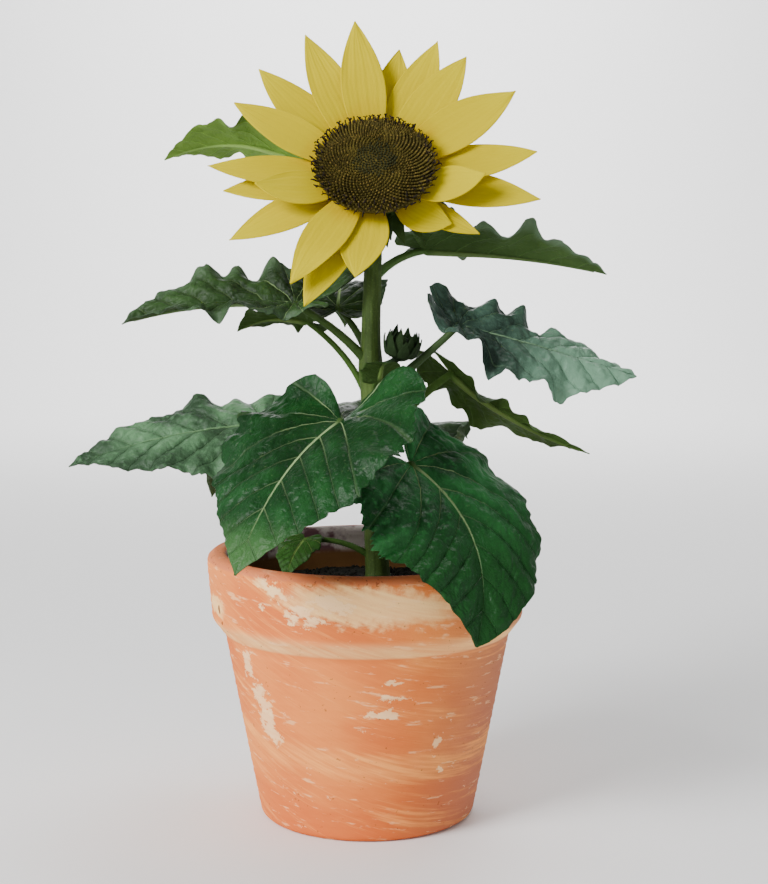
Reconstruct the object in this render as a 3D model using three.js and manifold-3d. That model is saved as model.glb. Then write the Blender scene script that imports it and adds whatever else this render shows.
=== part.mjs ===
// A dwarf sunflower in bloom, rooted in a round clay pot.
// Millimetres, +Z up. The origin is the middle of the pot's flat underside, and the bloom faces -Y.
// Bearings are degrees anticlockwise from +X, seen from above; pitches are degrees above level.
import * as THREE from "three";
import { mergeVertices } from "three/addons/utils/BufferGeometryUtils.js";
import Module from "manifold-3d";

const wasm = await Module();
wasm.setup();

// ---------------------------------------------------------------- driving dimensions

const GAP = 0.3; // clearance left between neighbouring solids
const FUSE = 1e-4; // how close two corners are before they count as one

const POT = {
  height: 125.7,
  footRadius: 50.8, // outer radius at the foot
  bodyRadius: 67, // outer radius just under the rim band
  bandFootRadius: 72.8, // outer radius at the bottom of the rim band
  rimRadius: 75, // outer radius at the top of the rim band
  bandHeight: 37, // rim band, with the slope under it
  bandSlope: 7, // height of the slope under the band
  lipRadius: 4.5, // rounding of the lip
  footRounding: 4,
  mouthRadius: 64.5, // inner radius at the lip
  wellRadius: 43.5, // inner radius at the floor
  floor: 9, // thickness of the floor
  drainRadius: 7, // drain hole in the floor, packed with soil
  facets: 36,
};

const SOIL = { level: 108, mound: 1.5 };

// The main stem, as the points that its middle line passes through, from the soil to the bloom.
const STEM = {
  line: [
    [5.2, 1, SOIL.level],
    [4.0, 1.5, 135],
    [2.6, 0.5, 178],
    [1.8, 0.5, 217],
    [2.9, 3.5, 259],
    [3.6, 9, 283],
    [3.9, 3.5, 296.5],
  ],
  footRadius: 5.6,
  topRadius: 3.7,
  flare: 2.2, // how far the foot spreads at the soil
  flareHeight: 9,
  node: { height: 211, swell: 1.1, reach: 9 }, // the swelling where several leaves leave it
  sides: 10,
  steps: 20,
};

const HEAD = {
  centre: [3.9, -5, 303],
  facing: 38, // pitch of the bloom's axis, towards -Y
  discRadius: 27.3,
  domeHeight: 7,
  discUndercut: 3.5, // how far the disc's edge stands above the petals' roots
  rimFlorets: 32,
  floretLength: 2.6,
  petalRing: 20.5, // radius at which the petals are rooted
  petalLayer: 2.1, // step down from one layer of petals to the next
  petalThickness: 0.7,
  cupCollar: 9.5, // height of the straight collar that the petals are rooted on
  cupDepth: 17,
  bracts: 12, // in each of two rings
  bractLength: 18,
  bractWidth: 7.5,
};

// Ray petals: bearing round the disc, length, width, lift over the disc's plane, curl towards the tip,
// sideways sweep, roll about its own length, cross fold, and layer (0 is uppermost).
const PETAL_FIELDS = ["bearing", "length", "width", "lift", "curl", "sweep", "roll", "fold", "layer"];
const PETALS = [
  [5, 55, 20, 8, 0, 0, 0, 6, 1],
  [31, 57, 25, 11, 0, 0, 0, 6, 0],
  [55, 56, 22, 13, 0, 0, 0, 6, 1],
  [68, 60, 21, 12, 0, 0, 0, 6, 2],
  [81, 54, 20, 10, 0, 0, 0, 6, 3],
  [97, 62, 21, 14, 0, 0, 0, 6, 0],
  [114, 63, 20, 12, 0, 0, 0, 6, 1],
  [134, 60, 21, 10, 0, 0, 0, 6, 2],
  [152, 55, 20, 10, 0, 0, 0, 6, 1],
  [179, 57, 18, 6, 0, 0, 0, 6, 2],
  [187, 50, 17, 2, 0, 0, 0, 6, 3],
  [204, 38, 20, 14, 6, -24, 0, 6, 0],
  [209, 55, 19, 0, -4, 0, 0, 6, 2],
  [240, 54, 20, 2, -8, 0, 0, 6, 0],
  [246, 57, 20, -3, -8, 0, 0, 6, 2],
  [262, 41, 23, 3, -4, 0, 0, 8, 1],
  [309, 26, 18, 3, -12, 46, 12, 8, 2],
  [322, 37, 13, -1, -4, 14, 0, 6, 3],
  [337, 34, 21, 18, 10, 32, 0, 6, 0],
  [348, 57, 20, 3, 0, 0, 0, 6, 2],
].map((row) => Object.fromEntries(row.map((value, i) => [PETAL_FIELDS[i], value])));

// Leaves, by how they are carried: the height on the stem where the stalk leaves it and its pitch there
// (rise); the point where the blade joins the stalk and the blade's tip; how far the midrib arches over
// the straight line between them, as a share of it, and how far it bows to its left; the blade's width, and
// the shares of it that the left and the right half take; roll about the midrib at its start and at its tip
// (left side up); how far the halves fold up from the midrib, at its start and at its tip; how far they curl
// on towards the margins; the height of the slow ruffles and of the crisped teeth; how far the left and the
// right lobe lift; and the stalk's radius. Some leaves also set the reach of the left and the right lobe, the
// outline's taper and the number of teeth.
const LEAVES = [
  {
    name: "leaf_front_left", height: 168, rise: 40, joint: [-11, -50, 191], tip: [-53, -110, 134],
    arch: 0.1, bow: 0, width: 84, sides: [1.12, 1], roll: [0, 0], fold: [20, -8], curl: -20,
    ruffle: 2.5, crisp: 1.5, lobeLift: [13, 10], stalk: 2.7, lobes: [1.2, 0.7], taper: [2.1, 1],
  },
  {
    name: "leaf_front_right", height: 146, rise: 40, joint: [20, -50, 172], tip: [47, -88, 99],
    arch: 0.1, bow: 0.13, width: 78, sides: [0.9, 1.15], roll: [3, 3], fold: [11, 11], curl: -25,
    ruffle: 1.5, crisp: 1, lobeLift: [11, 2], stalk: 2.6, taper: [2.8, 0.85],
  },
  {
    name: "leaf_low_left", height: 178, rise: 30, joint: [-48, -4, 185], tip: [-138, -10, 166],
    arch: 0.04, bow: 0, width: 56, sides: [1, 0.8], roll: [-32, -30], fold: [2, 2], curl: -10,
    ruffle: 3, crisp: 2, lobeLift: [2, 2], stalk: 2.4,
  },
  {
    name: "leaf_mid_left", height: 212, rise: 50, joint: [-33, -10, 241], tip: [-112, -12, 232],
    arch: 0.05, bow: 0, width: 52, sides: [0.6, 0.8], roll: [-30, -25], fold: [22, 30], curl: -15,
    ruffle: 4, crisp: 3.5, lobeLift: [2, 16], stalk: 2.2, lobes: [1, 2.1],
  },
  {
    name: "leaf_inner_left", height: 190, rise: 76, joint: [-28, 8, 232], tip: [-62, 22, 227],
    arch: 0.1, bow: 0, width: 32, sides: [1, 1], roll: [20, 20], fold: [10, 10], curl: -10,
    ruffle: 2, crisp: 1.5, lobeLift: [1, 1], stalk: 1.7, teeth: 4,
  },
  {
    name: "leaf_mid_right", height: 196, rise: 38, joint: [42, -9, 231], tip: [124, -12, 208],
    arch: 0.01, bow: 0, width: 40, sides: [1, 1], roll: [28, 45], fold: [18, -40], curl: -10,
    ruffle: 4, crisp: 4, lobeLift: [7, 15], stalk: 2.2, lobes: [1, 1], taper: [4, 0.8],
  },
  {
    name: "leaf_low_right", height: 172, rise: 50, joint: [40, 20, 207], tip: [109, 40, 166],
    arch: -0.05, bow: 0, width: 44, sides: [1.2, 0.25], roll: [-20, -20], fold: [8, 8], curl: -10,
    ruffle: 3, crisp: 2.5, lobeLift: [2, 2], stalk: 2.4,
  },
  {
    name: "leaf_rear_high", height: 214, rise: 60, joint: [-14, 20, 238], tip: [-12, 84, 226],
    arch: 0.25, bow: 0, width: 44, sides: [1, 1], roll: [0, 0], fold: [10, 10], curl: -10,
    ruffle: 2, crisp: 2, lobeLift: [2, 2], stalk: 2.0,
  },
  {
    name: "leaf_upper_left", height: 266, rise: 50, joint: [-34, 42, 308], tip: [-99, 50, 309],
    arch: 0.12, bow: 0, width: 50, sides: [1, 1], roll: [22, 22], fold: [10, 10], curl: -10,
    ruffle: 3, crisp: 2.5, lobeLift: [2, 2], stalk: 2.0,
  },
  {
    name: "leaf_upper_right", height: 252, rise: 40, joint: [27, 24, 265], tip: [114, 24, 254],
    arch: 0.03, bow: 0, width: 48, sides: [1, 1], roll: [-15, -12], fold: [26, 26], curl: -15,
    ruffle: 3, crisp: 3.5, lobeLift: [-4, -3], stalk: 2.2, lobes: [0.5, 0.8], taper: [3.2, 1],
  },
  {
    name: "leaf_rear_right", height: 184, rise: 50, joint: [19, 42, 176], tip: [42, 104, 152],
    arch: 0.15, bow: 0, width: 42, sides: [0.7, 1.1], roll: [0, 0], fold: [10, 10], curl: -20,
    ruffle: 3, crisp: 2, lobeLift: [2, 2], stalk: 2.4,
  },
  {
    name: "leaf_rear", height: 156, rise: 50, joint: [-14, 42, 184], tip: [-30, 114, 160],
    arch: 0.15, bow: 0, width: 56, sides: [1, 0.8], roll: [0, 0], fold: [10, 10], curl: -20,
    ruffle: 3, crisp: 2, lobeLift: [2, 2], stalk: 2.4,
  },
  {
    name: "leaf_rear_left", height: 164, rise: 45, joint: [-34, 24, 168], tip: [-80, 72, 140],
    arch: 0.15, bow: 0, width: 54, sides: [1, 1], roll: [0, 0], fold: [10, 10], curl: -20,
    ruffle: 3, crisp: 2, lobeLift: [2, 2], stalk: 2.4,
  },
  {
    name: "leaf_upper_rear", height: 258, rise: 55, joint: [4, 38, 290], tip: [10, 100, 286],
    arch: 0.15, bow: 0, width: 48, sides: [1, 1], roll: [0, 0], fold: [12, 12], curl: -15,
    ruffle: 3, crisp: 2, lobeLift: [2, 2], stalk: 2.0,
  },
  {
    name: "leaf_in_pot", height: 119, rise: 45, joint: [-29, -6, 131], tip: [-37, -24, 116],
    arch: 0.1, bow: 0, width: 20, sides: [1, 1], roll: [0, 0], fold: [8, 8], curl: -10,
    ruffle: 1, crisp: 0.4, lobeLift: [0.5, 0.5], stalk: 1.5, teeth: 3,
  },
  {
    name: "leaf_young", height: 198, rise: 60, joint: [6, -12, 207], tip: [9, -28, 215],
    arch: 0.15, bow: 0, width: 18, sides: [1, 1], roll: [0, 0], fold: [8, 8], curl: -10,
    ruffle: 0.5, crisp: 0.4, lobeLift: [0.5, 0.5], stalk: 1.5, teeth: 3,
  },
];

const BLADE = {
  thickness: 1.25,
  lobe: 0.2, // length of the lobes behind the stalk's joint, as a share of the blade
  lobeCentre: 0.48, // how far out the lobe's end lies, as a share of the half width
  jointWidth: 0.93, // half width beside the joint, as a share of the widest
  taper: [2.25, 1], // powers of the outline's run to the tip
  teeth: 5, // large teeth down each side
  toothRise: 0.05,
  notchFall: 0.03,
  lobeRows: 3,
  columns: 3, // across each half
  ribShare: 0.35, // how far the stalk runs on under the blade
  waves: 2.5, // slow ruffles down each side
  crispPhase: 0.64, // lifts each tooth's point and lowers the notch before it
};

const BUD = {
  at: [16, -10, 220.5],
  radius: 6.4,
  tilt: 10,
  bracts: 9,
  bractLength: 10,
  bractWidth: 5.5,
  stalkHeight: 211, // where its stalk leaves the stem
  stalkRadius: 1.7,
};

// ---------------------------------------------------------------- vectors and solids

const rad = THREE.MathUtils.degToRad;
const vec = (x, y, z) => new THREE.Vector3(x, y, z);
const mix = (a, b, share) => a + (b - a) * share;

/** The unit direction with a given bearing and pitch. */
function direction(bearing, pitch) {
  const [b, p] = [rad(bearing), rad(pitch)];
  return vec(Math.cos(p) * Math.cos(b), Math.cos(p) * Math.sin(b), Math.sin(p));
}

/** A closed geometry as a manifold-3d solid. */
function solidOf(geometry) {
  const bare = new THREE.BufferGeometry().setAttribute("position", geometry.getAttribute("position"));
  if (geometry.index) bare.setIndex(geometry.index);
  const merged = mergeVertices(bare, FUSE);
  const index = [];
  for (let i = 0; i < merged.index.count; i += 3) {
    const [a, b, c] = [0, 1, 2].map((k) => merged.index.getX(i + k));
    if (a !== b && b !== c && c !== a) index.push(a, b, c);
  }
  return new wasm.Manifold(
    new wasm.Mesh({
      numProp: 3,
      vertProperties: Float32Array.from(merged.attributes.position.array),
      triVerts: Uint32Array.from(index),
    }),
  );
}

/** A solid as a three.js geometry. */
function geometryOf(solid) {
  const mesh = solid.getMesh();
  const points = new Float32Array(mesh.numVert * 3);
  for (let i = 0; i < mesh.numVert; i++) {
    points.set(mesh.vertProperties.subarray(i * mesh.numProp, i * mesh.numProp + 3), i * 3);
  }
  const geometry = new THREE.BufferGeometry();
  geometry.setAttribute("position", new THREE.BufferAttribute(points, 3));
  geometry.setIndex(new THREE.BufferAttribute(Uint32Array.from(mesh.triVerts), 1));
  geometry.computeVertexNormals();
  return geometry;
}

/** Solids joined into one. */
const fuse = (solids) => solids.reduce((whole, one) => whole.add(one));

/** Only the largest body of a solid, so that a cut leaves no loose scrap. */
function largest(solid) {
  return solid.decompose().reduce((best, one) => (one.volume() > best.volume() ? one : best));
}

/** A solid from corner points and triangles. */
function closed(points, triangles) {
  const geometry = new THREE.BufferGeometry().setFromPoints(points);
  geometry.setIndex(triangles.flat());
  return solidOf(geometry);
}

/** A turned shape about the Z axis, from a closed profile of [radius, height] pairs. */
function turned(profile, facets) {
  const outline = profile.map(([r, z]) => new THREE.Vector2(r, z));
  const lathe = new THREE.LatheGeometry(outline, facets);
  lathe.rotateX(Math.PI / 2); // the lathe's axis, +Y, becomes +Z
  const solid = solidOf(lathe);
  return solid.volume() > 0 ? solid : solidOf(flipped(lathe));
}

/** A geometry with its faces turned over. */
function flipped(geometry) {
  const index = geometry.index.array.slice();
  for (let i = 0; i < index.length; i += 3) [index[i + 1], index[i + 2]] = [index[i + 2], index[i + 1]];
  return geometry.clone().setIndex(new THREE.BufferAttribute(index, 1));
}

/** Points of a rounded corner, as [radius, height] pairs. */
function arc(centreR, centreZ, radius, from, to, steps) {
  return Array.from({ length: steps + 1 }, (_, i) => {
    const a = rad(mix(from, to, i / steps));
    return [centreR + radius * Math.cos(a), centreZ + radius * Math.sin(a)];
  });
}

/** A tapering limb with closed ends along `points`, its radius given for each point. */
function limb(points, radii, sides) {
  const corners = [];
  let side = vec(0, 0, 1);
  points.forEach((point, i) => {
    const ahead = points[Math.min(i + 1, points.length - 1)].clone().sub(points[Math.max(i - 1, 0)]).normalize();
    if (i === 0 && Math.abs(ahead.z) > 0.9) side = vec(1, 0, 0);
    side = side.clone().addScaledVector(ahead, -side.dot(ahead)).normalize();
    const other = ahead.clone().cross(side);
    for (let k = 0; k < sides; k++) {
      const a = (2 * Math.PI * k) / sides;
      corners.push(
        point.clone().addScaledVector(side, radii[i] * Math.cos(a)).addScaledVector(other, radii[i] * Math.sin(a)),
      );
    }
  });
  const triangles = [];
  for (let i = 0; i + 1 < points.length; i++) {
    for (let k = 0; k < sides; k++) {
      const [a, b] = [i * sides + k, i * sides + ((k + 1) % sides)];
      triangles.push([a, b, b + sides], [a, b + sides, a + sides]);
    }
  }
  const last = (points.length - 1) * sides;
  for (let k = 1; k + 1 < sides; k++) {
    triangles.push([0, k + 1, k], [last, last + k, last + k + 1]);
  }
  return closed(corners, triangles);
}

/** A thin solid from an open surface: the surface is moved half the thickness each way and walled round. */
function thickened(points, triangles, thickness) {
  const place = new Map();
  const corners = [];
  const merged = points.map((p) => {
    const key = [p.x, p.y, p.z].map((c) => Math.round(c / FUSE)).join();
    if (!place.has(key)) {
      place.set(key, corners.length);
      corners.push(p);
    }
    return place.get(key);
  });
  const faces = triangles
    .map((t) => t.map((i) => merged[i]))
    .filter(([a, b, c]) => a !== b && b !== c && c !== a);
  const normals = corners.map(() => vec(0, 0, 0));
  const edges = new Map();
  for (const face of faces) {
    const [a, b, c] = face.map((i) => corners[i]);
    const normal = b.clone().sub(a).cross(c.clone().sub(a));
    face.forEach((i, k) => {
      normals[i].add(normal);
      const next = face[(k + 1) % 3];
      if (!edges.delete(next + "," + i)) edges.set(i + "," + next, [i, next]);
    });
  }
  const half = thickness / 2;
  const top = corners.map((p, i) => p.clone().addScaledVector(normals[i].normalize(), half));
  const bottom = corners.map((p, i) => p.clone().addScaledVector(normals[i], -half));
  const under = corners.length;
  const walls = [...edges.values()].flatMap(([a, b]) => [
    [b, a, a + under],
    [b, a + under, b + under],
  ]);
  return closed(
    [...top, ...bottom],
    [...faces, ...faces.map(([a, b, c]) => [a + under, c + under, b + under]), ...walls],
  );
}

/** Triangles of a grid of rows and columns, whose points are numbered along the rows from `first`. */
function gridTriangles(rows, columns, first, turnOver) {
  const triangles = [];
  for (let i = 0; i + 1 < rows; i++) {
    for (let j = 0; j + 1 < columns; j++) {
      const a = first + i * columns + j;
      const quad = [a, a + 1, a + columns + 1, a + columns];
      if (turnOver) quad.reverse();
      triangles.push([quad[0], quad[1], quad[2]], [quad[0], quad[2], quad[3]]);
    }
  }
  return triangles;
}

/**
 * A growing line with a frame at each step. It sets off from `start`; its pitch and bearing at a share s of
 * its length are given by functions. Each frame has the point, the heading, the left side and the upper side.
 */
function grow(start, length, pitchAt, bearingAt, rollAt, steps) {
  const frames = [];
  const point = start.clone();
  for (let i = 0; i <= steps; i++) {
    const s = i / steps;
    const [pitch, bearing, roll] = [pitchAt(s), bearingAt(s), rad(rollAt(s))];
    const ahead = direction(bearing, pitch);
    const level = direction(bearing + 90, 0);
    const over = ahead.clone().cross(level);
    frames.push({
      point: point.clone(),
      ahead,
      left: level.clone().multiplyScalar(Math.cos(roll)).addScaledVector(over, Math.sin(roll)),
      up: over.clone().multiplyScalar(Math.cos(roll)).addScaledVector(level, -Math.sin(roll)),
    });
    const middle = (i + 0.5) / steps;
    point.addScaledVector(direction(bearingAt(middle), pitchAt(middle)), length / steps);
  }
  return frames;
}

/** The frame at a share s of a grown line, which runs on straight behind its start where s is under 0. */
function frameAt(frames, s, length) {
  if (s <= 0) return { ...frames[0], point: frames[0].point.clone().addScaledVector(frames[0].ahead, s * length) };
  const place = Math.min(s, 1) * (frames.length - 1);
  const i = Math.min(Math.floor(place), frames.length - 2);
  const share = place - i;
  const between = (key) => frames[i][key].clone().lerp(frames[i + 1][key], share);
  return {
    point: between("point"),
    ahead: between("ahead").normalize(),
    left: between("left").normalize(),
    up: between("up").normalize(),
  };
}

/** Where a point lies that is `out` along a cross section which folds up by `fold` and bends on by `curl`. */
function sectionPoint(frame, side, out, width, fold, curl) {
  const [start, bend] = [rad(fold), rad(curl) / Math.max(width, 1e-6)];
  const turn = start + bend * out;
  const across = Math.abs(bend) < 1e-9 ? out * Math.cos(start) : (Math.sin(turn) - Math.sin(start)) / bend;
  const rise = Math.abs(bend) < 1e-9 ? out * Math.sin(start) : (Math.cos(start) - Math.cos(turn)) / bend;
  return frame.point.clone().addScaledVector(frame.left, side * across).addScaledVector(frame.up, rise);
}

// ---------------------------------------------------------------- pot and soil

/** The pot's outside, from the middle of its underside up to the crest of its lip. */
function potOutside() {
  const { height, footRadius, footRounding, bodyRadius, bandFootRadius, bandHeight, bandSlope, rimRadius } = POT;
  const band = height - bandHeight;
  return [
    ...arc(footRadius - footRounding, footRounding, footRounding, -90, -10, 3),
    [bodyRadius, band],
    [bandFootRadius - 1.5, band + bandSlope * 0.7],
    [bandFootRadius, band + bandSlope + 1],
    ...arc(rimRadius - POT.lipRadius, height - POT.lipRadius, POT.lipRadius, 0, 90, 3),
  ];
}

/** The inner wall's radius at a height. */
function innerRadius(z) {
  return mix(POT.wellRadius, POT.mouthRadius, (z - POT.floor) / (POT.height - POT.lipRadius - POT.floor));
}

/** The clay pot, with a round drain hole through its floor. */
function makePot() {
  const lip = arc(POT.mouthRadius + POT.lipRadius, POT.height - POT.lipRadius, POT.lipRadius, 90, 180, 2);
  const profile = [
    [POT.drainRadius, 0],
    ...potOutside(),
    ...lip,
    [POT.wellRadius, POT.floor],
    [POT.drainRadius, POT.floor],
    [POT.drainRadius, 0],
  ];
  return turned(profile, POT.facets);
}

/** The soil, clear of the clay all round, down through the drain hole. */
function makeSoil() {
  const plug = POT.drainRadius - GAP;
  const profile = [
    [0, 0],
    [plug, 0],
    [plug, POT.floor + GAP],
    [POT.wellRadius - 1.2 * GAP, POT.floor + GAP],
    [innerRadius(SOIL.level - SOIL.mound) - 1.2 * GAP, SOIL.level - SOIL.mound],
    [innerRadius(SOIL.level) * 0.6, SOIL.level],
    [0, SOIL.level],
  ];
  return turned(profile, POT.facets);
}

// ---------------------------------------------------------------- stem

const stemCurve = new THREE.CatmullRomCurve3(STEM.line.map(([x, y, z]) => vec(x, y, z)));

/** The stem's middle point at a height. */
function stemAt(height) {
  let [low, high] = [0, 1];
  for (let i = 0; i < 24; i++) {
    const middle = (low + high) / 2;
    if (stemCurve.getPoint(middle).z < height) low = middle;
    else high = middle;
  }
  return stemCurve.getPoint(low);
}

/** The stem's radius at a height: an even taper, with a root flare at the soil and a swelling at the node. */
function stemRadius(height) {
  const share = (height - SOIL.level) / (HEAD.centre[2] - SOIL.level);
  const foot = Math.max(0, 1 - (height - SOIL.level) / STEM.flareHeight);
  const swelling = STEM.node.swell * Math.exp(-(((height - STEM.node.height) / STEM.node.reach) ** 2));
  return mix(STEM.footRadius, STEM.topRadius, share) + STEM.flare * foot * foot + swelling;
}

/** The main stem, or the same shape grown by `extra` all round to cut a clearance with. */
function makeStem(extra) {
  const points = Array.from({ length: STEM.steps + 1 }, (_, i) => stemCurve.getPoint(i / STEM.steps));
  const radii = points.map((p) => stemRadius(p.z) + extra);
  points[0].z += GAP - extra;
  const whole = limb(points, radii, STEM.sides);
  const cut = SOIL.level + GAP - extra;
  const ground = turned([[0, -50], [100, -50], [100, cut], [0, cut]], 12);
  return whole.subtract(ground);
}

// ---------------------------------------------------------------- leaves

/**
 * Half the blade's width, without teeth, as a share of the widest: at a share t of its length, or at -1 to 0
 * from the lobes' ends to the joint.
 */
function bladeHalf(t, taper = BLADE.taper) {
  const [run, power] = taper;
  if (t >= 0) return Math.pow(Math.max(0, 1 - Math.pow(t, run)), power) * (BLADE.jointWidth + 0.8 * t * (1 - t));
  return BLADE.lobeCentre + (BLADE.jointWidth - BLADE.lobeCentre) * Math.sqrt(1 - t * t);
}

/** How far out the notch between the lobes reaches at the same place, as a share of the half width. */
function notchHalf(t) {
  return t >= 0 ? 0 : BLADE.lobeCentre * (1 - Math.sqrt(1 - Math.pow(-t, 1.2)));
}

/** The rows of a blade: shares of its length, each with the rise or fall of its margin there. */
function bladeRows(teeth) {
  const rows = [];
  for (let k = 0; k < BLADE.lobeRows; k++) rows.push([k / BLADE.lobeRows - 1, k % 2 ? 0.03 : 0]);
  for (let k = 0; k < teeth; k++) {
    rows.push([k / teeth, -BLADE.notchFall]);
    rows.push([(k + 0.78) / teeth, BLADE.toothRise]);
  }
  rows.push([1, 0]);
  return rows;
}

/** The middle line of a leaf's stalk, from inside the stem to the blade. */
function stalkCurve(leaf) {
  const [start, end] = [stemAt(leaf.height), vec(...leaf.joint)];
  const along = end.clone().sub(start);
  const bearing = THREE.MathUtils.radToDeg(Math.atan2(along.y, along.x));
  const control = start.clone().addScaledVector(direction(bearing, leaf.rise), along.length() / 2);
  return new THREE.QuadraticBezierCurve3(start, control, end);
}

/** The blade's frame at a share s of the midrib, which runs on straight behind the joint where s is under 0. */
function ribFrame(leaf, s) {
  const [start, end] = [vec(...leaf.joint), vec(...leaf.tip)];
  const chord = end.clone().sub(start);
  const level = vec(-chord.y, chord.x, 0).normalize();
  const over = chord.clone().normalize().cross(level);
  const control = start.clone().add(end).divideScalar(2);
  control.addScaledVector(over, 2 * leaf.arch * chord.length());
  control.addScaledVector(level, 2 * leaf.bow * chord.length());
  const curve = new THREE.QuadraticBezierCurve3(start, control, end);
  const ahead = curve.getTangent(Math.max(s, 0));
  const point = curve.getPoint(Math.max(s, 0)).addScaledVector(ahead, Math.min(s, 0) * chord.length());
  const left = level.addScaledVector(ahead, -level.dot(ahead)).normalize();
  const up = ahead.clone().cross(left);
  const roll = rad(mix(leaf.roll[0], leaf.roll[1], Math.max(s, 0)));
  return {
    point,
    ahead,
    left: left.clone().multiplyScalar(Math.cos(roll)).addScaledVector(up, Math.sin(roll)),
    up: up.clone().multiplyScalar(Math.cos(roll)).addScaledVector(left, -Math.sin(roll)),
  };
}

/** The height of the slow ruffles and crisped teeth at a share t of the length, `out` of the half width. */
function ruffleAt(leaf, side, t, out) {
  const phase = side > 0 ? 0.15 : 0.6;
  const wave = Math.sin(2 * Math.PI * (BLADE.waves * t + phase + leaf.height * 0.37));
  const crisp = Math.sin(2 * Math.PI * ((leaf.teeth ?? BLADE.teeth) * t + BLADE.crispPhase));
  return leaf.ruffle * out ** 2 * wave + leaf.crisp * out ** 3 * crisp * Math.min(1, Math.max(0, 8 * t));
}

/** One leaf: a heart-shaped toothed blade on its stalk, which runs on under it as the rib. */
function makeLeaf(leaf) {
  const rows = bladeRows(leaf.teeth ?? BLADE.teeth);
  const columns = BLADE.columns + 1;
  const points = [];
  const triangles = [];
  for (const side of [1, -1]) {
    const first = points.length;
    for (const [place, tooth] of rows) {
      const lobe = BLADE.lobe * (leaf.lobes ?? [1, 1])[side > 0 ? 0 : 1];
      const half = (leaf.width / 2) * leaf.sides[side > 0 ? 0 : 1];
      const t = place < 0 ? place * lobe : place;
      const frame = ribFrame(leaf, t);
      const inner = notchHalf(place) * half;
      const outer = Math.max(inner, bladeHalf(place, leaf.taper) * (1 + tooth) * half);
      const fold = mix(leaf.fold[0], leaf.fold[1], Math.max(t, 0));
      const back = Math.max(0, -place);
      for (let j = 0; j < columns; j++) {
        const out = mix(inner, outer, j / BLADE.columns);
        const point = sectionPoint(frame, side, out, half, fold, leaf.curl);
        const share = out / half;
        const lobeRise = leaf.lobeLift[side > 0 ? 0 : 1] * back * back;
        point.addScaledVector(frame.up, ruffleAt(leaf, side, t, share) + lobeRise);
        points.push(point);
      }
    }
    triangles.push(...gridTriangles(rows.length, columns, first, side > 0));
  }
  const blade = thickened(points, triangles, BLADE.thickness);
  const stalk = stalkCurve(leaf).getPoints(5);
  const rib = [0.33, 0.67, 1].map((s) => ribFrame(leaf, s * BLADE.ribShare));
  const line = [...stalk, ...rib.map((frame) => frame.point.addScaledVector(frame.up, -0.6))];
  const radii = line.map((_, i) => leaf.stalk * mix(1.15, 0.35, i / (line.length - 1)));
  return fuse([blade, limb(line, radii, 5)]);
}

// ---------------------------------------------------------------- bloom

/** A pointed blade of few faces in the bloom's own frame, whose axis is +Z. */
function pointedBlade(sizes) {
  const { bearing, length, width, lift, curl, sweep = 0, roll = 0, fold, root, level } = sizes;
  const { thickness, rows, across, widest, neck } = sizes;
  const start = direction(bearing, 0).multiplyScalar(root).setZ(level);
  const line = grow(
    start,
    length,
    (s) => lift * Math.min(1, s / 0.2) + curl * s * s,
    (s) => bearing + sweep * s,
    (s) => roll * Math.min(1, s / 0.3),
    12,
  );
  const half = (t) => {
    if (t < widest) return mix(neck, 1, Math.sin((t / widest) * (Math.PI / 2)));
    return 1 - Math.pow((t - widest) / (1 - widest), 1.9);
  };
  const points = [];
  for (let i = 0; i <= rows; i++) {
    const t = i / rows;
    const frame = frameAt(line, t, length);
    const out = (half(t) * width) / 2;
    for (let j = 0; j <= across; j++) {
      const share = 1 - (2 * j) / across;
      points.push(sectionPoint(frame, Math.sign(share) || 1, Math.abs(share) * out, width / 2, 0, fold));
    }
  }
  return thickened(points, gridTriangles(rows + 1, across + 1, 0, false), thickness);
}

/** One ray petal. */
function makePetal(petal) {
  return pointedBlade({
    ...petal,
    root: HEAD.petalRing + GAP + 0.05,
    level: -1.2 - petal.layer * HEAD.petalLayer,
    thickness: HEAD.petalThickness,
    rows: 6,
    across: 4,
    widest: 0.42,
    neck: 0.57,
  });
}

/** The seed disc: a low dome, undercut at its edge, with a fringe of open florets round it. */
function makeDisc() {
  const { discRadius, domeHeight, discUndercut } = HEAD;
  const dome = Array.from({ length: 6 }, (_, i) => {
    const a = (i / 5) * (Math.PI / 2);
    return [discRadius * Math.cos(a), discUndercut + domeHeight * Math.sin(a)];
  });
  dome[5][0] = 0;
  const body = turned([[0, 0], [HEAD.petalRing - 1, 0], ...dome], 28);
  const florets = Array.from({ length: HEAD.rimFlorets }, (_, i) => {
    const bearing = (360 * i) / HEAD.rimFlorets;
    const foot = direction(bearing, 0).multiplyScalar(discRadius * 0.93).setZ(discUndercut + domeHeight * 0.25);
    const heading = direction(bearing, i % 2 ? 30 : 52);
    return limb([foot, foot.clone().addScaledVector(heading, HEAD.floretLength + 1.5)], [1.1, 0.7], 4);
  });
  return fuse([body, ...florets]);
}

/** The green cup behind the bloom, or the same shape grown by `extra` all round to cut a clearance with. */
function makeCupBody(extra) {
  const { petalRing, cupCollar, cupDepth } = HEAD;
  const neck = STEM.topRadius + 1;
  const wall = Array.from({ length: 5 }, (_, i) => {
    const a = (i / 4) * (Math.PI / 2);
    return [mix(neck, petalRing, Math.sin(a)) + extra, mix(-cupCollar, -cupDepth, Math.cos(a)) - extra];
  });
  return turned([[0, -cupDepth - extra], ...wall, [petalRing + extra, -GAP + extra], [0, -GAP + extra]], 36);
}

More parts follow.
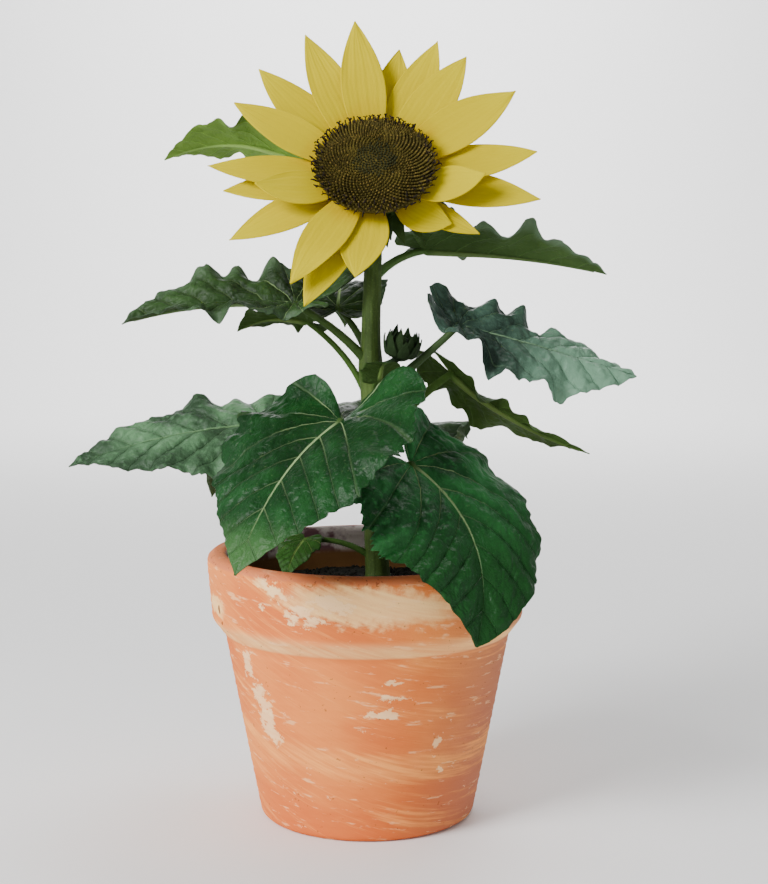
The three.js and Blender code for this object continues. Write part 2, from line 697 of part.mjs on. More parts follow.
/** The cup with its two rings of pointed bracts. */
function makeCup() {
  const bracts = [0, 1].flatMap((ring) =>
    Array.from({ length: HEAD.bracts }, (_, i) =>
      pointedBlade({
        bearing: (360 * (i + ring * 0.5)) / HEAD.bracts, length: HEAD.bractLength + (i % 3) * 1.5,
        width: HEAD.bractWidth, lift: ring ? -22 : -6, curl: ring ? -25 : -15, fold: 10,
        root: HEAD.petalRing * 0.8, level: ring ? -11.5 : -9.6,
        thickness: 0.9, rows: 3, across: 2, widest: 0.35, neck: 0.75,
      }),
    ),
  );
  return fuse([makeCupBody(0), ...bracts]);
}

/** A closed side bud: a ball of bracts, the outer ones with free points. */
function makeBud() {
  const ball = turned(
    Array.from({ length: 9 }, (_, i) => {
      const a = rad(-90 + i * 22.5);
      return [i % 8 ? BUD.radius * Math.cos(a) : 0, BUD.radius * 0.92 * Math.sin(a)];
    }),
    14,
  );
  const bracts = Array.from({ length: BUD.bracts }, (_, i) =>
    pointedBlade({
      bearing: (360 * i) / BUD.bracts + 10, length: BUD.bractLength + (i % 3) * 1.5, width: BUD.bractWidth,
      lift: 74 + (i % 2) * 10, curl: 24, fold: 20, root: BUD.radius * 0.86, level: -BUD.radius * 0.45,
      thickness: 0.9, rows: 3, across: 2, widest: 0.35, neck: 0.8,
    }),
  );
  const closedBud = fuse([ball, ...bracts]).rotate([BUD.tilt, BUD.tilt, 0]).translate(BUD.at);
  const [start, end] = [stemAt(BUD.stalkHeight), vec(...BUD.at)];
  const bend = end.clone().setZ(mix(start.z, end.z, 0.3));
  const stalk = new THREE.QuadraticBezierCurve3(start, bend, end).getPoints(4);
  return fuse([closedBud, limb(stalk, stalk.map(() => BUD.stalkRadius), 6)]);
}

// ---------------------------------------------------------------- assembly

const COLOURS = {
  clay: ["#d08a62", 0.9],
  soil: ["#1d1712", 1],
  stem: ["#4f6f2a", 0.6],
  leaf: ["#2c5a2f", 0.5],
  petal: ["#ffd80f", 0.55],
  disc: ["#2e1d0d", 0.9],
  bract: ["#4a6b33", 0.6],
};
const materials = Object.fromEntries(
  Object.entries(COLOURS).map(([name, [color, roughness]]) => [
    name,
    new THREE.MeshStandardMaterial({ color, roughness, metalness: 0, side: THREE.DoubleSide }),
  ]),
);

/** A named mesh of one solid. */
function piece(name, solid, material) {
  const mesh = new THREE.Mesh(geometryOf(solid), materials[material]);
  mesh.name = name;
  return mesh;
}

const plant = new THREE.Group();
plant.name = "potted_sunflower";
plant.add(piece("pot", makePot(), "clay"));
plant.add(piece("soil", makeSoil(), "soil"));

const headPlace = (solid) => solid.rotate([90 - HEAD.facing, 0, 0]).translate(HEAD.centre);
plant.add(piece("stem", makeStem(0).subtract(headPlace(makeCupBody(GAP))), "stem"));

const stemClearance = makeStem(GAP);
for (const leaf of LEAVES) {
  plant.add(piece(leaf.name, largest(makeLeaf(leaf).subtract(stemClearance)), "leaf"));
}
plant.add(piece("bud", largest(makeBud().subtract(stemClearance)), "bract"));

const head = new THREE.Group();
head.position.set(...HEAD.centre);
head.rotation.x = rad(90 - HEAD.facing);
head.add(piece("head_disc", makeDisc(), "disc"));
head.add(piece("head_cup", makeCup(), "bract"));
PETALS.forEach((petal, i) => {
  head.add(piece("petal_" + String(i + 1).padStart(2, "0"), makePetal(petal), "petal"));
});
plant.add(head);

export default plant;
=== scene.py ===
"""A dwarf sunflower in a round clay pot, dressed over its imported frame.

Sizes in the tables are millimetres in the frame's own axes: +Z up, the bloom faces -Y, and the origin
is the middle of the pot's underside. Meshes are turned to metres as they are made.
"""
import logging
import math
from dataclasses import dataclass, field
from enum import Enum
from typing import Any, Callable, Mapping, Sequence

import bpy
import numpy as np
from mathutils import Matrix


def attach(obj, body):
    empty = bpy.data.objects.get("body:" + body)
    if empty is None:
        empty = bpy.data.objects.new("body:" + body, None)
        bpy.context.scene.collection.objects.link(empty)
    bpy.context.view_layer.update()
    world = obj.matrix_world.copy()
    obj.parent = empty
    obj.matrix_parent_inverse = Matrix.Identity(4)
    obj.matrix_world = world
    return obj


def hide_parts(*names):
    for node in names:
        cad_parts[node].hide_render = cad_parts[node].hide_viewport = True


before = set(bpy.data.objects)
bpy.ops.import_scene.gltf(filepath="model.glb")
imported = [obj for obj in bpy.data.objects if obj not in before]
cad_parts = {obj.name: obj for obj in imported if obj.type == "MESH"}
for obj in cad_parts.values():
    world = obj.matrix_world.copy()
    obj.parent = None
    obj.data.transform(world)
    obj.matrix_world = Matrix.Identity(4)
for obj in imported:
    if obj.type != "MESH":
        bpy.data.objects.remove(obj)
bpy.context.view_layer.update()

MM = 0.001  # in metres
GOLDEN_ANGLE = 137.507764  # in degrees

Array = np.ndarray
Colour = tuple[float, float, float]
Ripple = Callable[[Array, Array], Array]
Relief = Callable[[Array, Array, Array], Array]

log = logging.getLogger("sunflower")


# ---------------------------------------------------------------- numbers


def vec(values: Sequence[float]) -> Array:
    """Give the values as an array of floats."""
    return np.asarray(values, dtype=float)


def unit(vectors: Array) -> Array:
    """Scale vectors on the last axis to length one."""
    return vectors / np.maximum(np.linalg.norm(vectors, axis=-1, keepdims=True), 1e-12)


def scaled(colour: Colour, by: float) -> Colour:
    """Make a colour lighter or darker, at most 1."""
    return tuple(min(1.0, c * by) for c in colour)


def mix(a: Any, b: Any, share: Any) -> Any:
    """Give the value a share of the way from a to b."""
    return a + (b - a) * share


def smooth(low: float, high: float, x: Array) -> Array:
    """Rise from 0 at low to 1 at high along the curve 3s² - 2s³."""
    s = np.clip((x - low) / (high - low), 0.0, 1.0)
    return s * s * (3.0 - 2.0 * s)


def direction(bearing: Any, pitch: Any) -> Array:
    """Turn a bearing b and a pitch p into unit vectors: (cos p cos b, cos p sin b, sin p).

    Args:
        bearing: Degrees from +X towards +Y.
        pitch: Degrees above the level.

    Returns:
        The vectors, with x, y and z on a last axis.
    """
    b, p = np.broadcast_arrays(np.radians(bearing), np.radians(pitch))
    return np.stack([np.cos(p) * np.cos(b), np.cos(p) * np.sin(b), np.sin(p)], axis=-1)


def polar(radius: Any, angle: Array, height: Any) -> Array:
    """Points at a radius and an angle about Z: (r cos a, r sin a, height)."""
    return np.stack([radius * np.cos(angle), radius * np.sin(angle), height], -1)


def arc(across: float, height: float, radius: float, start: float, end: float, steps: int) -> Array:
    """Points of an arc about a middle point, from a start to an end angle in degrees."""
    a = np.radians(np.linspace(start, end, steps))
    return np.stack([across + radius * np.cos(a), height + radius * np.sin(a)], -1)


def quadratic(start: Array, control: Array, end: Array, s: Array) -> Array:
    """Points of a quadratic curve: (1 - s)² start + 2 s (1 - s) control + s² end."""
    return (1 - s) ** 2 * start + 2 * s * (1 - s) * control + s**2 * end


def lattice_noise(x: Array, y: Array, seed: int) -> Array:
    """Smooth noise in -1 to 1 over a plane.

    Random values stand at whole-number points, and between them they are blended by 3s² - 2s³ each way.

    Args:
        x: First coordinate, in cells.
        y: Second coordinate, in cells.
        seed: Seed of the random values.

    Returns:
        The noise, shaped as x and y.
    """
    size = 64
    values = np.random.default_rng(seed).uniform(-1.0, 1.0, (size, size))
    x0, y0 = np.floor(x).astype(int), np.floor(y).astype(int)
    x1, y1 = (x0 + 1) % size, (y0 + 1) % size
    fx, fy = smooth(0.0, 1.0, x - x0), smooth(0.0, 1.0, y - y0)
    x0, y0 = x0 % size, y0 % size
    near = mix(values[x0, y0], values[x1, y0], fx)
    far = mix(values[x0, y1], values[x1, y1], fx)
    return mix(near, far, fy)


# ---------------------------------------------------------------- meshes


@dataclass
class Skin:
    """A mesh in the making: points in millimetres, faces, and values that the points carry by name.

    The quads whose numbers are in flat shade flat, and all other faces shade smooth.
    """

    points: Array
    quads: Array = field(default_factory=lambda: np.zeros((0, 4), dtype=int))
    triangles: Array = field(default_factory=lambda: np.zeros((0, 3), dtype=int))
    values: dict[str, Array] = field(default_factory=dict)
    flat: Array = field(default_factory=lambda: np.zeros(0, dtype=int))

    @staticmethod
    def joined(skins: Sequence["Skin"]) -> "Skin":
        """Join skins into one, each keeping its own values.

        Args:
            skins: The skins, in order.

        Returns:
            The joined skin; a value that a skin lacks is 0 on its points.
        """
        starts = np.cumsum([0, *(len(skin.points) for skin in skins)])
        firsts = np.cumsum([0, *(len(skin.quads) for skin in skins)])
        names = sorted({name for skin in skins for name in skin.values})
        return Skin(
            np.concatenate([skin.points for skin in skins]),
            np.concatenate([skin.quads + start for skin, start in zip(skins, starts)]),
            np.concatenate([skin.triangles + start for skin, start in zip(skins, starts)]),
            {
                name: np.concatenate([skin.values.get(name, np.zeros(len(skin.points))) for skin in skins])
                for name in names
            },
            np.concatenate([skin.flat + first for skin, first in zip(skins, firsts)]),
        )

    def moved(self, turn: Array, shift: Array) -> "Skin":
        """Turn the points by a matrix, then shift them."""
        return Skin(self.points @ turn.T + shift, self.quads, self.triangles, self.values, self.flat)

    def object(self, name: str, finish: "Finish", nodes: Sequence[str] = (), slot: str = "") -> None:
        """Make the Blender object, dress it and tie it to the frame.

        Args:
            name: The piece's name.
            finish: The finish that makes its material.
            nodes: The frame's nodes that it stands for.
            slot: The record's material slot; not used.
        """
        piece = self.mesh(name, finish)
        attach(piece, "root")
        if nodes:
            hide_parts(*nodes)
        log.info("%s: %d faces", name, len(piece.data.polygons))

    def mesh(self, name: str, finish: "Finish") -> Any:
        """Make the Blender object alone, with its material.

        Args:
            name: Name of the object and its mesh.
            finish: The finish that makes its material.

        Returns:
            The object, at the origin.
        """
        mesh = bpy.data.meshes.new(name)
        mesh.vertices.add(len(self.points))
        mesh.vertices.foreach_set("co", (self.points * MM).ravel())
        corners = np.concatenate([self.quads.ravel(), self.triangles.ravel()])
        totals = np.concatenate([np.full(len(self.quads), 4), np.full(len(self.triangles), 3)])
        mesh.loops.add(len(corners))
        mesh.loops.foreach_set("vertex_index", corners)
        mesh.polygons.add(len(totals))
        mesh.polygons.foreach_set("loop_start", np.concatenate([[0], np.cumsum(totals)[:-1]]))
        mesh.polygons.foreach_set("loop_total", totals)
        even = np.ones(len(totals), dtype=bool)
        even[self.flat] = False
        mesh.polygons.foreach_set("use_smooth", even)
        for key, value in self.values.items():
            mesh.attributes.new(key, "FLOAT", "POINT").data.foreach_set("value", value.astype(np.float32))
        mesh.update(calc_edges=True)
        mesh.validate()
        piece = bpy.data.objects.new(name, mesh)
        bpy.context.scene.collection.objects.link(piece)
        mesh.materials.append(finish.material())
        return piece


def grid_quads(rows: int, columns: int, wrap: bool = False, loop: bool = False) -> Array:
    """Quads of a grid of points numbered row by row.

    Args:
        rows: Rows of points.
        columns: Points in each row.
        wrap: Whether each row closes on itself.
        loop: Whether each column closes on itself.

    Returns:
        The quads, n by 4.
    """
    down = np.arange(rows if loop else rows - 1)
    across = np.arange(columns if wrap else columns - 1)
    i, j = np.meshgrid(down, across, indexing="ij")
    k, n = (j + 1) % columns, (i + 1) % rows
    return np.stack([i * columns + j, i * columns + k, n * columns + k, n * columns + j], -1).reshape(-1, 4)


def grid_normals(points: Array) -> Array:
    """Unit normals of a grid of points: the cross product of its steps across and along.

    The first and the last row, which may run together in a point, take the normals of the rows beside them.

    Args:
        points: The grid, rows by columns by 3.

    Returns:
        The normals, shaped as the points.
    """
    normals = np.cross(np.gradient(points, axis=1), np.gradient(points, axis=0))
    normals[-1] = normals[-2]
    normals[0] = normals[1]
    return unit(normals)


def sheet(points: Array, thickness: Array, values: Mapping[str, Array], over: int) -> Skin:
    """A closed thin shell over a grid of points.

    Each point moves half the thickness along the grid's normal to the upper face, and as far the other
    way to the lower face; a strip of quads joins the two round the margin.

    Args:
        points: The middle surface, rows by columns by 3.
        thickness: Thickness at each point.
        values: Values at each point, by name, given to both faces.
        over: 1 if the upper face lies on the side of the grid's normal, -1 if on the other.

    Returns:
        The shell, whose value "under" is 1 on the lower face.
    """
    rows, columns = points.shape[:2]
    normals = grid_normals(points) * over
    half = thickness[..., None] / 2
    count = rows * columns
    quads = grid_quads(rows, columns)
    index = np.arange(count).reshape(rows, columns)
    ring = np.concatenate([index[0, :-1], index[:-1, -1], index[-1, :0:-1], index[:0:-1, 0]])
    after = np.roll(ring, -1)
    walls = np.stack([after, ring, ring + count, after + count], -1)
    if over < 0:
        quads, walls = quads[:, ::-1], walls[:, ::-1]
    both = {name: np.tile(value.ravel(), 2) for name, value in values.items()}
    both["under"] = np.repeat([0.0, 1.0], count)
    return Skin(
        np.concatenate([(points + normals * half).reshape(-1, 3), (points - normals * half).reshape(-1, 3)]),
        np.concatenate([quads, quads[:, ::-1] + count, walls]),
        values=both,
        flat=2 * len(quads) + np.arange(len(walls)),
    )


def frames_along(path: Array, side: Array) -> tuple[Array, Array]:
    """Two unit vectors square to a path at each of its points.

    The first is `side` less its share along the path, the second is the cross product of path and first.

    Args:
        path: Points along the path, n by 3.
        side: A direction that the path never takes.

    Returns:
        The first and the second vectors, each n by 3.
    """
    ahead = unit(np.gradient(path, axis=0))
    first = unit(side - ahead * (ahead @ side)[:, None])
    return first, np.cross(ahead, first)


def tube(path: Array, radii: Array, sides: int, ripple: Ripple | None = None) -> Skin:
    """A closed tube along a path.

    Each ring is centre + r (cos a · first + sin a · second), and the ends close on their middle points.

    Args:
        path: Points along the middle line, n by 3.
        radii: Radius at each point.
        sides: Points in each ring.
        ripple: Gives what is added to the radius at an angle and a distance along the path.

    Returns:
        The tube, with the value "along" from 0 to 1.
    """
    run = np.concatenate([[0.0], np.cumsum(np.linalg.norm(np.diff(path, axis=0), axis=1))])
    angles = np.linspace(0.0, 2.0 * np.pi, sides, endpoint=False)
    steep = abs(unit(path[-1] - path[0])[2]) > 0.7
    first, second = frames_along(path, vec([1.0, 0.0, 0.0] if steep else [0.0, 0.0, 1.0]))
    reach = radii[:, None] + (ripple(angles[None, :], run[:, None]) if ripple else 0.0)
    ring = np.cos(angles)[None, :, None] * first[:, None] + np.sin(angles)[None, :, None] * second[:, None]
    points = path[:, None] + reach[..., None] * ring
    count = len(path) * sides
    last = count - sides
    k = np.arange(sides)
    n = (k + 1) % sides
    start = np.stack([np.full(sides, count), n, k], -1)
    end = np.stack([np.full(sides, count + 1), last + k, last + n], -1)
    return Skin(
        np.concatenate([points.reshape(-1, 3), path[:1], path[-1:]]),
        grid_quads(len(path), sides, wrap=True),
        np.concatenate([start, end]),
        {"along": np.concatenate([np.repeat(run / run[-1], sides), [0.0, 1.0]])},
    )


def turned(profile: Array, sides: int, relief: Relief | None = None) -> Skin:
    """A shape turned about Z from a profile of [radius, height] points, going up its outside.

    Point = (r cos a, r sin a, z). An end of the profile on the axis closes in a fan; a profile with both
    ends off the axis closes on itself.

    Args:
        profile: The profile, n by 2.
        sides: Points round.
        relief: Gives what is added to the radius at an angle, a radius and a height.

    Returns:
        The shape.
    """
    angles = np.linspace(0.0, 2.0 * np.pi, sides, endpoint=False)
    below, above = profile[0, 0] == 0.0, profile[-1, 0] == 0.0
    rings = profile[int(below) : len(profile) - int(above)]
    r, z = rings[:, :1], rings[:, 1:]
    reach = r + (relief(angles[None, :], r, z) if relief else 0.0 * angles)
    points = polar(reach, angles, z + 0.0 * reach).reshape(-1, 3)
    k = np.arange(sides)
    n = (k + 1) % sides
    poles, fans = [], [np.zeros((0, 3), dtype=int)]
    if below:
        poles.append([0.0, 0.0, profile[0, 1]])
        fans.append(np.stack([np.full(sides, len(points)), n, k], -1))
    if above:
        last = len(points) - sides
        fans.append(np.stack([np.full(sides, len(points) + len(poles)), last + k, last + n], -1))
        poles.append([0.0, 0.0, profile[-1, 1]])
    return Skin(
        np.concatenate([points, np.reshape(poles, (-1, 3))]),
        grid_quads(len(rings), sides, wrap=True, loop=not (below or above)),
        np.concatenate(fans),
    )


def scattered(shape: Skin, places: Array, turns: Array, sizes: Array) -> Skin:
    """Copies of a small shape joined in one skin.

    Each copy's points are place + turn · (size × point), worked out for all copies in one product.

    Args:
        shape: The small shape, about the origin.
        places: Where each copy stands, n by 3.
        turns: A turning matrix for each copy, n by 3 by 3.
        sizes: Size of each copy, n by 3 or n by 1.

    Returns:
        The joined skin, in which each copy carries the shape's values.
    """
    count = len(places)
    sized = shape.points[None] * sizes[:, None, :]
    points = places[:, None] + np.einsum("nij,nkj->nki", turns, sized)
    starts = (np.arange(count) * len(shape.points))[:, None, None]
    return Skin(
        points.reshape(-1, 3),
        (shape.quads[None] + starts).reshape(-1, 4),
        (shape.triangles[None] + starts).reshape(-1, 3),
        {name: np.tile(value, count) for name, value in shape.values.items()},
    )


def turns_to(axes: Array, spin: Array) -> Array:
    """Matrices that spin a shape about +Z and then turn +Z to an axis.

    Args:
        axes: Where +Z goes in each copy, n by 3, of any length.
        spin: The spin of each copy, in radians.

    Returns:
        The matrices, n by 3 by 3.
    """
    axes = unit(axes)
    helper = np.where(np.abs(axes[:, 2:]) > 0.9, vec([1.0, 0.0, 0.0]), vec([0.0, 0.0, 1.0]))
    x = unit(np.cross(helper, axes))
    y = np.cross(axes, x)
    c, s = np.cos(spin)[:, None], np.sin(spin)[:, None]
    return np.stack([x * c + y * s, y * c - x * s, axes], axis=-1)


# ---------------------------------------------------------------- shading


class Value:
    """A shader socket that takes part in arithmetic; each operation adds a Math node."""

    def __init__(self, shader: "Shader", socket: Any) -> None:
        """Hold a socket of a shader's node tree."""
        self.shader = shader
        self.socket = socket

    def _math(self, operation: str, first: Any, second: Any = None) -> "Value":
        """Add a Math node on one or two operands."""
        inputs = {0: first} if second is None else {0: first, 1: second}
        return self.shader.node("ShaderNodeMath", {"operation": operation}, inputs)

    def __add__(self, other: Any) -> "Value":
        """Sum."""
        return self._math("ADD", self, other)

    __radd__ = __add__

    def __sub__(self, other: Any) -> "Value":
        """Difference."""
        return self._math("SUBTRACT", self, other)

    def __rsub__(self, other: Any) -> "Value":
        """Difference from a number."""
        return self._math("SUBTRACT", other, self)

    def __mul__(self, other: Any) -> "Value":
        """Product."""
        return self._math("MULTIPLY", self, other)

    __rmul__ = __mul__

    def __truediv__(self, other: Any) -> "Value":
        """Quotient."""
        return self._math("DIVIDE", self, other)

    def __rtruediv__(self, other: Any) -> "Value":
        """Quotient of a number by it."""
        return self._math("DIVIDE", other, self)

    def absolute(self) -> "Value":
        """Size without sign."""
        return self._math("ABSOLUTE", self)

    def fraction(self) -> "Value":
        """What stands after the whole number."""
        return self._math("FRACT", self)

    def smaller(self, other: Any) -> "Value":
        """The smaller of two."""
        return self._math("MINIMUM", self, other)

    def larger(self, other: Any) -> "Value":
        """The larger of two."""
        return self._math("MAXIMUM", self, other)

    def rising(self, low: float, high: float) -> "Value":
        """Go smoothly from 0 at low to 1 at high."""
        inputs = {0: self, 1: low, 2: high, 3: 0.0, 4: 1.0}
        return self.shader.node("ShaderNodeMapRange", {"interpolation_type": "SMOOTHSTEP"}, inputs)


class Shader:
    """A material in the making, round one Principled shader."""

    def __init__(self, name: str) -> None:
        """Start a material that holds one Principled shader.

        Args:
            name: The material's name.
        """
        self.material = bpy.data.materials.new(name)
        self.material.use_nodes = True
        self.tree = self.material.node_tree
        self.tree.nodes.clear()
        output = self.tree.nodes.new("ShaderNodeOutputMaterial")
        self.principled = self.tree.nodes.new("ShaderNodeBsdfPrincipled")
        self.tree.links.new(self.principled.outputs[0], output.inputs[0])

    def node(
        self, kind: str, settings: Mapping[str, Any], inputs: Mapping[Any, Any], output: int | str = 0
    ) -> Value:
        """Add a node.

        Args:
            kind: The node's type.
            settings: Its settings, set first.
            inputs: Values or links of its sockets, by name or number.
            output: The name or number of the output wanted.

        Returns:
            The wanted output.
        """
        node = self.tree.nodes.new(kind)
        for key, value in settings.items():
            setattr(node, key, value)
        for key, value in inputs.items():
            self._feed(node.inputs[key], value)
        return Value(self, node.outputs[output])

    def _feed(self, socket: Any, value: Any) -> None:
        """Link a value to a socket, or set it there.

        Args:
            socket: The input socket.
            value: A Value to link, or a number, a vector or a colour to set.
        """
        if isinstance(value, Value):
            self.tree.links.new(value.socket, socket)
        elif isinstance(value, tuple) and len(value) == 3 and socket.type == "RGBA":
            socket.default_value = (*value, 1.0)
        else:
            socket.default_value = value

    def place(self) -> Value:
        """Object coordinates, in metres."""
        return self.node("ShaderNodeTexCoord", {}, {}, "Object")

    def stretched(self, scale: tuple[float, float, float]) -> Value:
        """Object coordinates scaled on each axis."""
        return self.node("ShaderNodeVectorMath", {"operation": "MULTIPLY"}, {0: self.place(), 1: scale})

    def carried(self, name: str) -> Value:
        """A value that the mesh's points carry."""
        return self.node("ShaderNodeAttribute", {"attribute_name": name}, {}, "Fac")

    def noise(self, scale: float, detail: float = 2.0, rough: float = 0.5, at: Value | None = None) -> Value:
        """Noise in 0 to 1, on object coordinates unless another place is given."""
        inputs = {"Vector": at or self.place(), "Scale": scale, "Detail": detail, "Roughness": rough}
        return self.node("ShaderNodeTexNoise", {}, inputs)

    def blend(self, share: Any, a: Any, b: Any) -> Value:
        """The colour a share of the way from a to b."""
        settings = {"data_type": "RGBA", "clamp_factor": True}
        return self.node("ShaderNodeMix", settings, {0: share, 6: a, 7: b}, 2)

    def bump(self, height: Value, distance: float, strength: float) -> Value:
        """A normal bumped by a height; the distance is in metres."""
        return self.node("ShaderNodeBump", {}, {"Height": height, "Distance": distance, "Strength": strength})

    def made(self, colour: Any, rough: Any, normal: Value | None = None, **even: float) -> Any:
        """Feed the Principled shader and give the material.

        Args:
            colour: Base colour.
            rough: Roughness.
            normal: Bumped normal.
            even: Sockets that are the same all over, by name with _ for spaces.

        Returns:
            The material.
        """
        self._feed(self.principled.inputs["Base Color"], colour)
        self._feed(self.principled.inputs["Roughness"], rough)
        if normal is not None:
            self._feed(self.principled.inputs["Normal"], normal)
        for key, value in even.items():
            self._feed(self.principled.inputs[key.replace("_", " ")], value)
        return self.material


class Finish:
    """A finish: a recipe for one material, made once."""

    name: str

    def material(self) -> Any:
        """Give this finish's material, making it the first time."""
        return bpy.data.materials.get(self.name) or self.build()

    def build(self) -> Any:
        """Make the material."""
        raise NotImplementedError


@dataclass(frozen=True)
class LeafFinish(Finish):
    """Quilted leaf: a crinkled upper side with painted highlights, sunk veins in painted shade, a pale midrib
    and a less glossy underside.

    The tip's colour is painted light. It lies as a haze where hazed gives its start and end along the blade,
    and on the margin as far as margin says: a painted sheen where it is lighter than the blade; where it is
    darker, the blade is painted lighter towards the stalk, against a cast shadow. Uneven is how much the
    light and dark patches differ, and how strong the painted highlights on the crinkles are.
    """

    name: str
    upper: Colour
    lower: Colour
    vein: Colour = (0.26, 0.38, 0.16)
    shine: float = 0.36
    tip: Colour | None = None
    hazed: tuple[float, float] = (0.68, 0.92)
    margin: float = 0.0
    uneven: float = 1.0

    def build(self) -> Any:
        """Side veins lie where the carried vein number is whole, and rungs between them where rung is.

        Blade darkens towards both, as painted shade in the sunk veins. The midrib narrows and fades to the
        tip;
        a side vein is pale near the midrib, and all along only by the stalk. On the lower side the relief
        turns over.

        Returns:
            The material.
        """
        s = Shader(self.name)
        under, out, along = s.carried("under"), s.carried("out"), s.carried("along")
        number = s.carried("vein")
        off = 0.5 - (number.fraction() - 0.5).absolute()
        rung = 0.5 - (s.carried("rung").fraction() - 0.5).absolute()
        crinkle = s.noise(340.0, 3.0, 0.62)
        patch = s.noise(34.0, 3.0)
        speck = s.noise(800.0, 1.0).rising(0.68, 0.74)

        side_vein = 1.0 - (off / 0.05).rising(0.2, 1.0)
        midrib = 1.0 - (out / (1.15 - along * 0.9)).rising(0.35, 1.0)
        basal = (1.0 - number.rising(0.3, 1.3)) * (1.0 - out.rising(4.0, 24.0))
        near = 1.0 - out.rising(1.5, 9.0)
        faded = midrib * (1.0 - along.rising(0.3, 0.9) * 0.75)
        pale = faded.larger(side_vein * (basal * 0.75 + near * 0.12 + 0.06)).smaller(1.0)
        # painted shade: cell is 0 on the sunk side veins and rungs and 1 between them; the blade is darkened
        # where it is low
        cell = off.rising(0.03, 0.3) * 0.65 + rung.rising(0.04, 0.22) * 0.35

        dark, light = 1.0 - 0.38 * self.uneven, 1.0 + 0.45 * self.uneven
        top = s.blend(patch.rising(0.36, 0.66), scaled(self.upper, dark), scaled(self.upper, light))
        # painted highlight: the blade lightened on the crests of the crinkle noise, which also raises the
        # bump
        top = s.blend(crinkle.rising(0.5, 0.7) * (0.3 * self.uneven), top, scaled(self.upper, 1.8))
        # painted shade in the sunk veins and rungs
        top = s.blend((1.0 - cell) * 0.6, top, scaled(self.upper, 0.45))
        top = s.blend(speck * 0.1, top, self.vein)
        top = s.blend(pale, top, self.vein)
        low = s.blend(patch.rising(0.3, 0.7), scaled(self.lower, 0.75), scaled(self.lower, 1.15))
        low = s.blend((midrib + side_vein).smaller(1.0) * 0.5, low, scaled(self.lower, 1.9))
        colour = s.blend(under, top, low)
        # painted light: the tip colour laid towards the tip and on the margin, a painted sheen where lighter,
        # and on the deep tint a darker tip beside a base painted lighter against a cast shadow
        if self.tip:
            haze = along.rising(*self.hazed).larger(s.carried("edge").rising(0.6, 0.95) * self.margin)
            colour = s.blend(haze * (patch + 0.25).rising(0.3, 0.75) * (1.0 - pale * 0.7), colour, self.tip)

        relief = crinkle * 0.9 + rung.rising(0.0, 0.35) * 0.08 - side_vein * 0.45
        normal = s.bump(relief * (1.0 - under * 2.0), 0.001, 0.9)
        return s.made(colour, self.shine + under * 0.22 + crinkle * 0.12, normal, Specular_IOR_Level=0.12)


@dataclass(frozen=True)
class StalkFinish(Finish):
    """Ribbed green stalk, streaked lengthwise and speckled with the feet of short hairs."""

    name: str
    colour: Colour
    light: Colour

    def build(self) -> Any:
        """Streaks are noise drawn out along Z, patches a broad noise, and specks a fine one.

        Returns:
            The material.
        """
        s = Shader(self.name)
        streak = s.noise(1.0, 3.0, 0.55, s.stretched((900.0, 900.0, 60.0)))
        patch = s.noise(60.0, 2.0)
        speck = s.noise(1400.0, 1.0)
        colour = s.blend(streak.rising(0.3, 0.7), scaled(self.colour, 0.7), self.colour)
        colour = s.blend(patch.rising(0.45, 0.75) * 0.6, colour, self.light)
        colour = s.blend(speck.rising(0.6, 0.72) * 0.4, colour, self.light)
        normal = s.bump(streak * 0.6 + speck * 0.4, 0.0004, 0.7)
        return s.made(colour, 0.5 + speck * 0.2, normal, Specular_IOR_Level=0.2)


@dataclass(frozen=True)
class PetalFinish(Finish):
    """Satin yellow petal, golden at its foot, with fine lengthwise grooves."""

    name: str
    tip: Colour
    middle: Colour
    foot: Colour

    def build(self) -> Any:
        """Colour follows the carried run from foot to tip; grooves are bands of the carried place across.

        Returns:
            The material.
        """
        s = Shader(self.name)
        along, across, under = s.carried("along"), s.carried("across"), s.carried("under")
        soft = s.noise(90.0, 3.0)
        wave = (soft - 0.5) * 0.9
        groove = ((across * 9.0 + wave).fraction() - 0.5).absolute() * 2.0
        fine = ((across * 31.0 + wave * 2.0).fraction() - 0.5).absolute() * 2.0
        body = s.blend((along + (soft - 0.5) * 0.3).rising(0.0, 0.36), self.foot, self.middle)
        body = s.blend((along + (soft - 0.5) * 0.4).rising(0.45, 1.0), body, self.tip)
        lined = s.blend((1.0 - groove) * 0.06 + (1.0 - fine) * 0.04, body, self.foot)
        colour = s.blend(under * 0.35, lined, self.foot)
        normal = s.bump(groove * 0.7 + fine * 0.3, 0.0003, 0.3)
        return s.made(colour, 0.55 + soft * 0.15, normal, Specular_IOR_Level=0.06)


@dataclass(frozen=True)
class GrainFinish(Finish):
    """A plain colour broken by fine grain, for florets and crumbs."""

    name: str
    colour: Colour
    grain: Colour
    scale: float = 900.0
    rough: float = 0.75

    def build(self) -> Any:
        """Two noises blend the two colours, and the finer one raises a grain.

        Returns:
            The material.
        """
        s = Shader(self.name)
        small, large = s.noise(self.scale, 3.0), s.noise(self.scale / 7.0, 2.0)
        colour = s.blend((small * 0.6 + large * 0.4).rising(0.4, 0.62), self.colour, self.grain)
        return s.made(colour, self.rough + small * 0.15, s.bump(small, 0.0004, 0.8), Specular_IOR_Level=0.2)


@dataclass(frozen=True)
class Patch:
    """A patch on the clay: bearing and slant in degrees, height, half width and half height in mm."""

    bearing: float
    height: float
    wide: float
    tall: float
    slant: float = 0.0


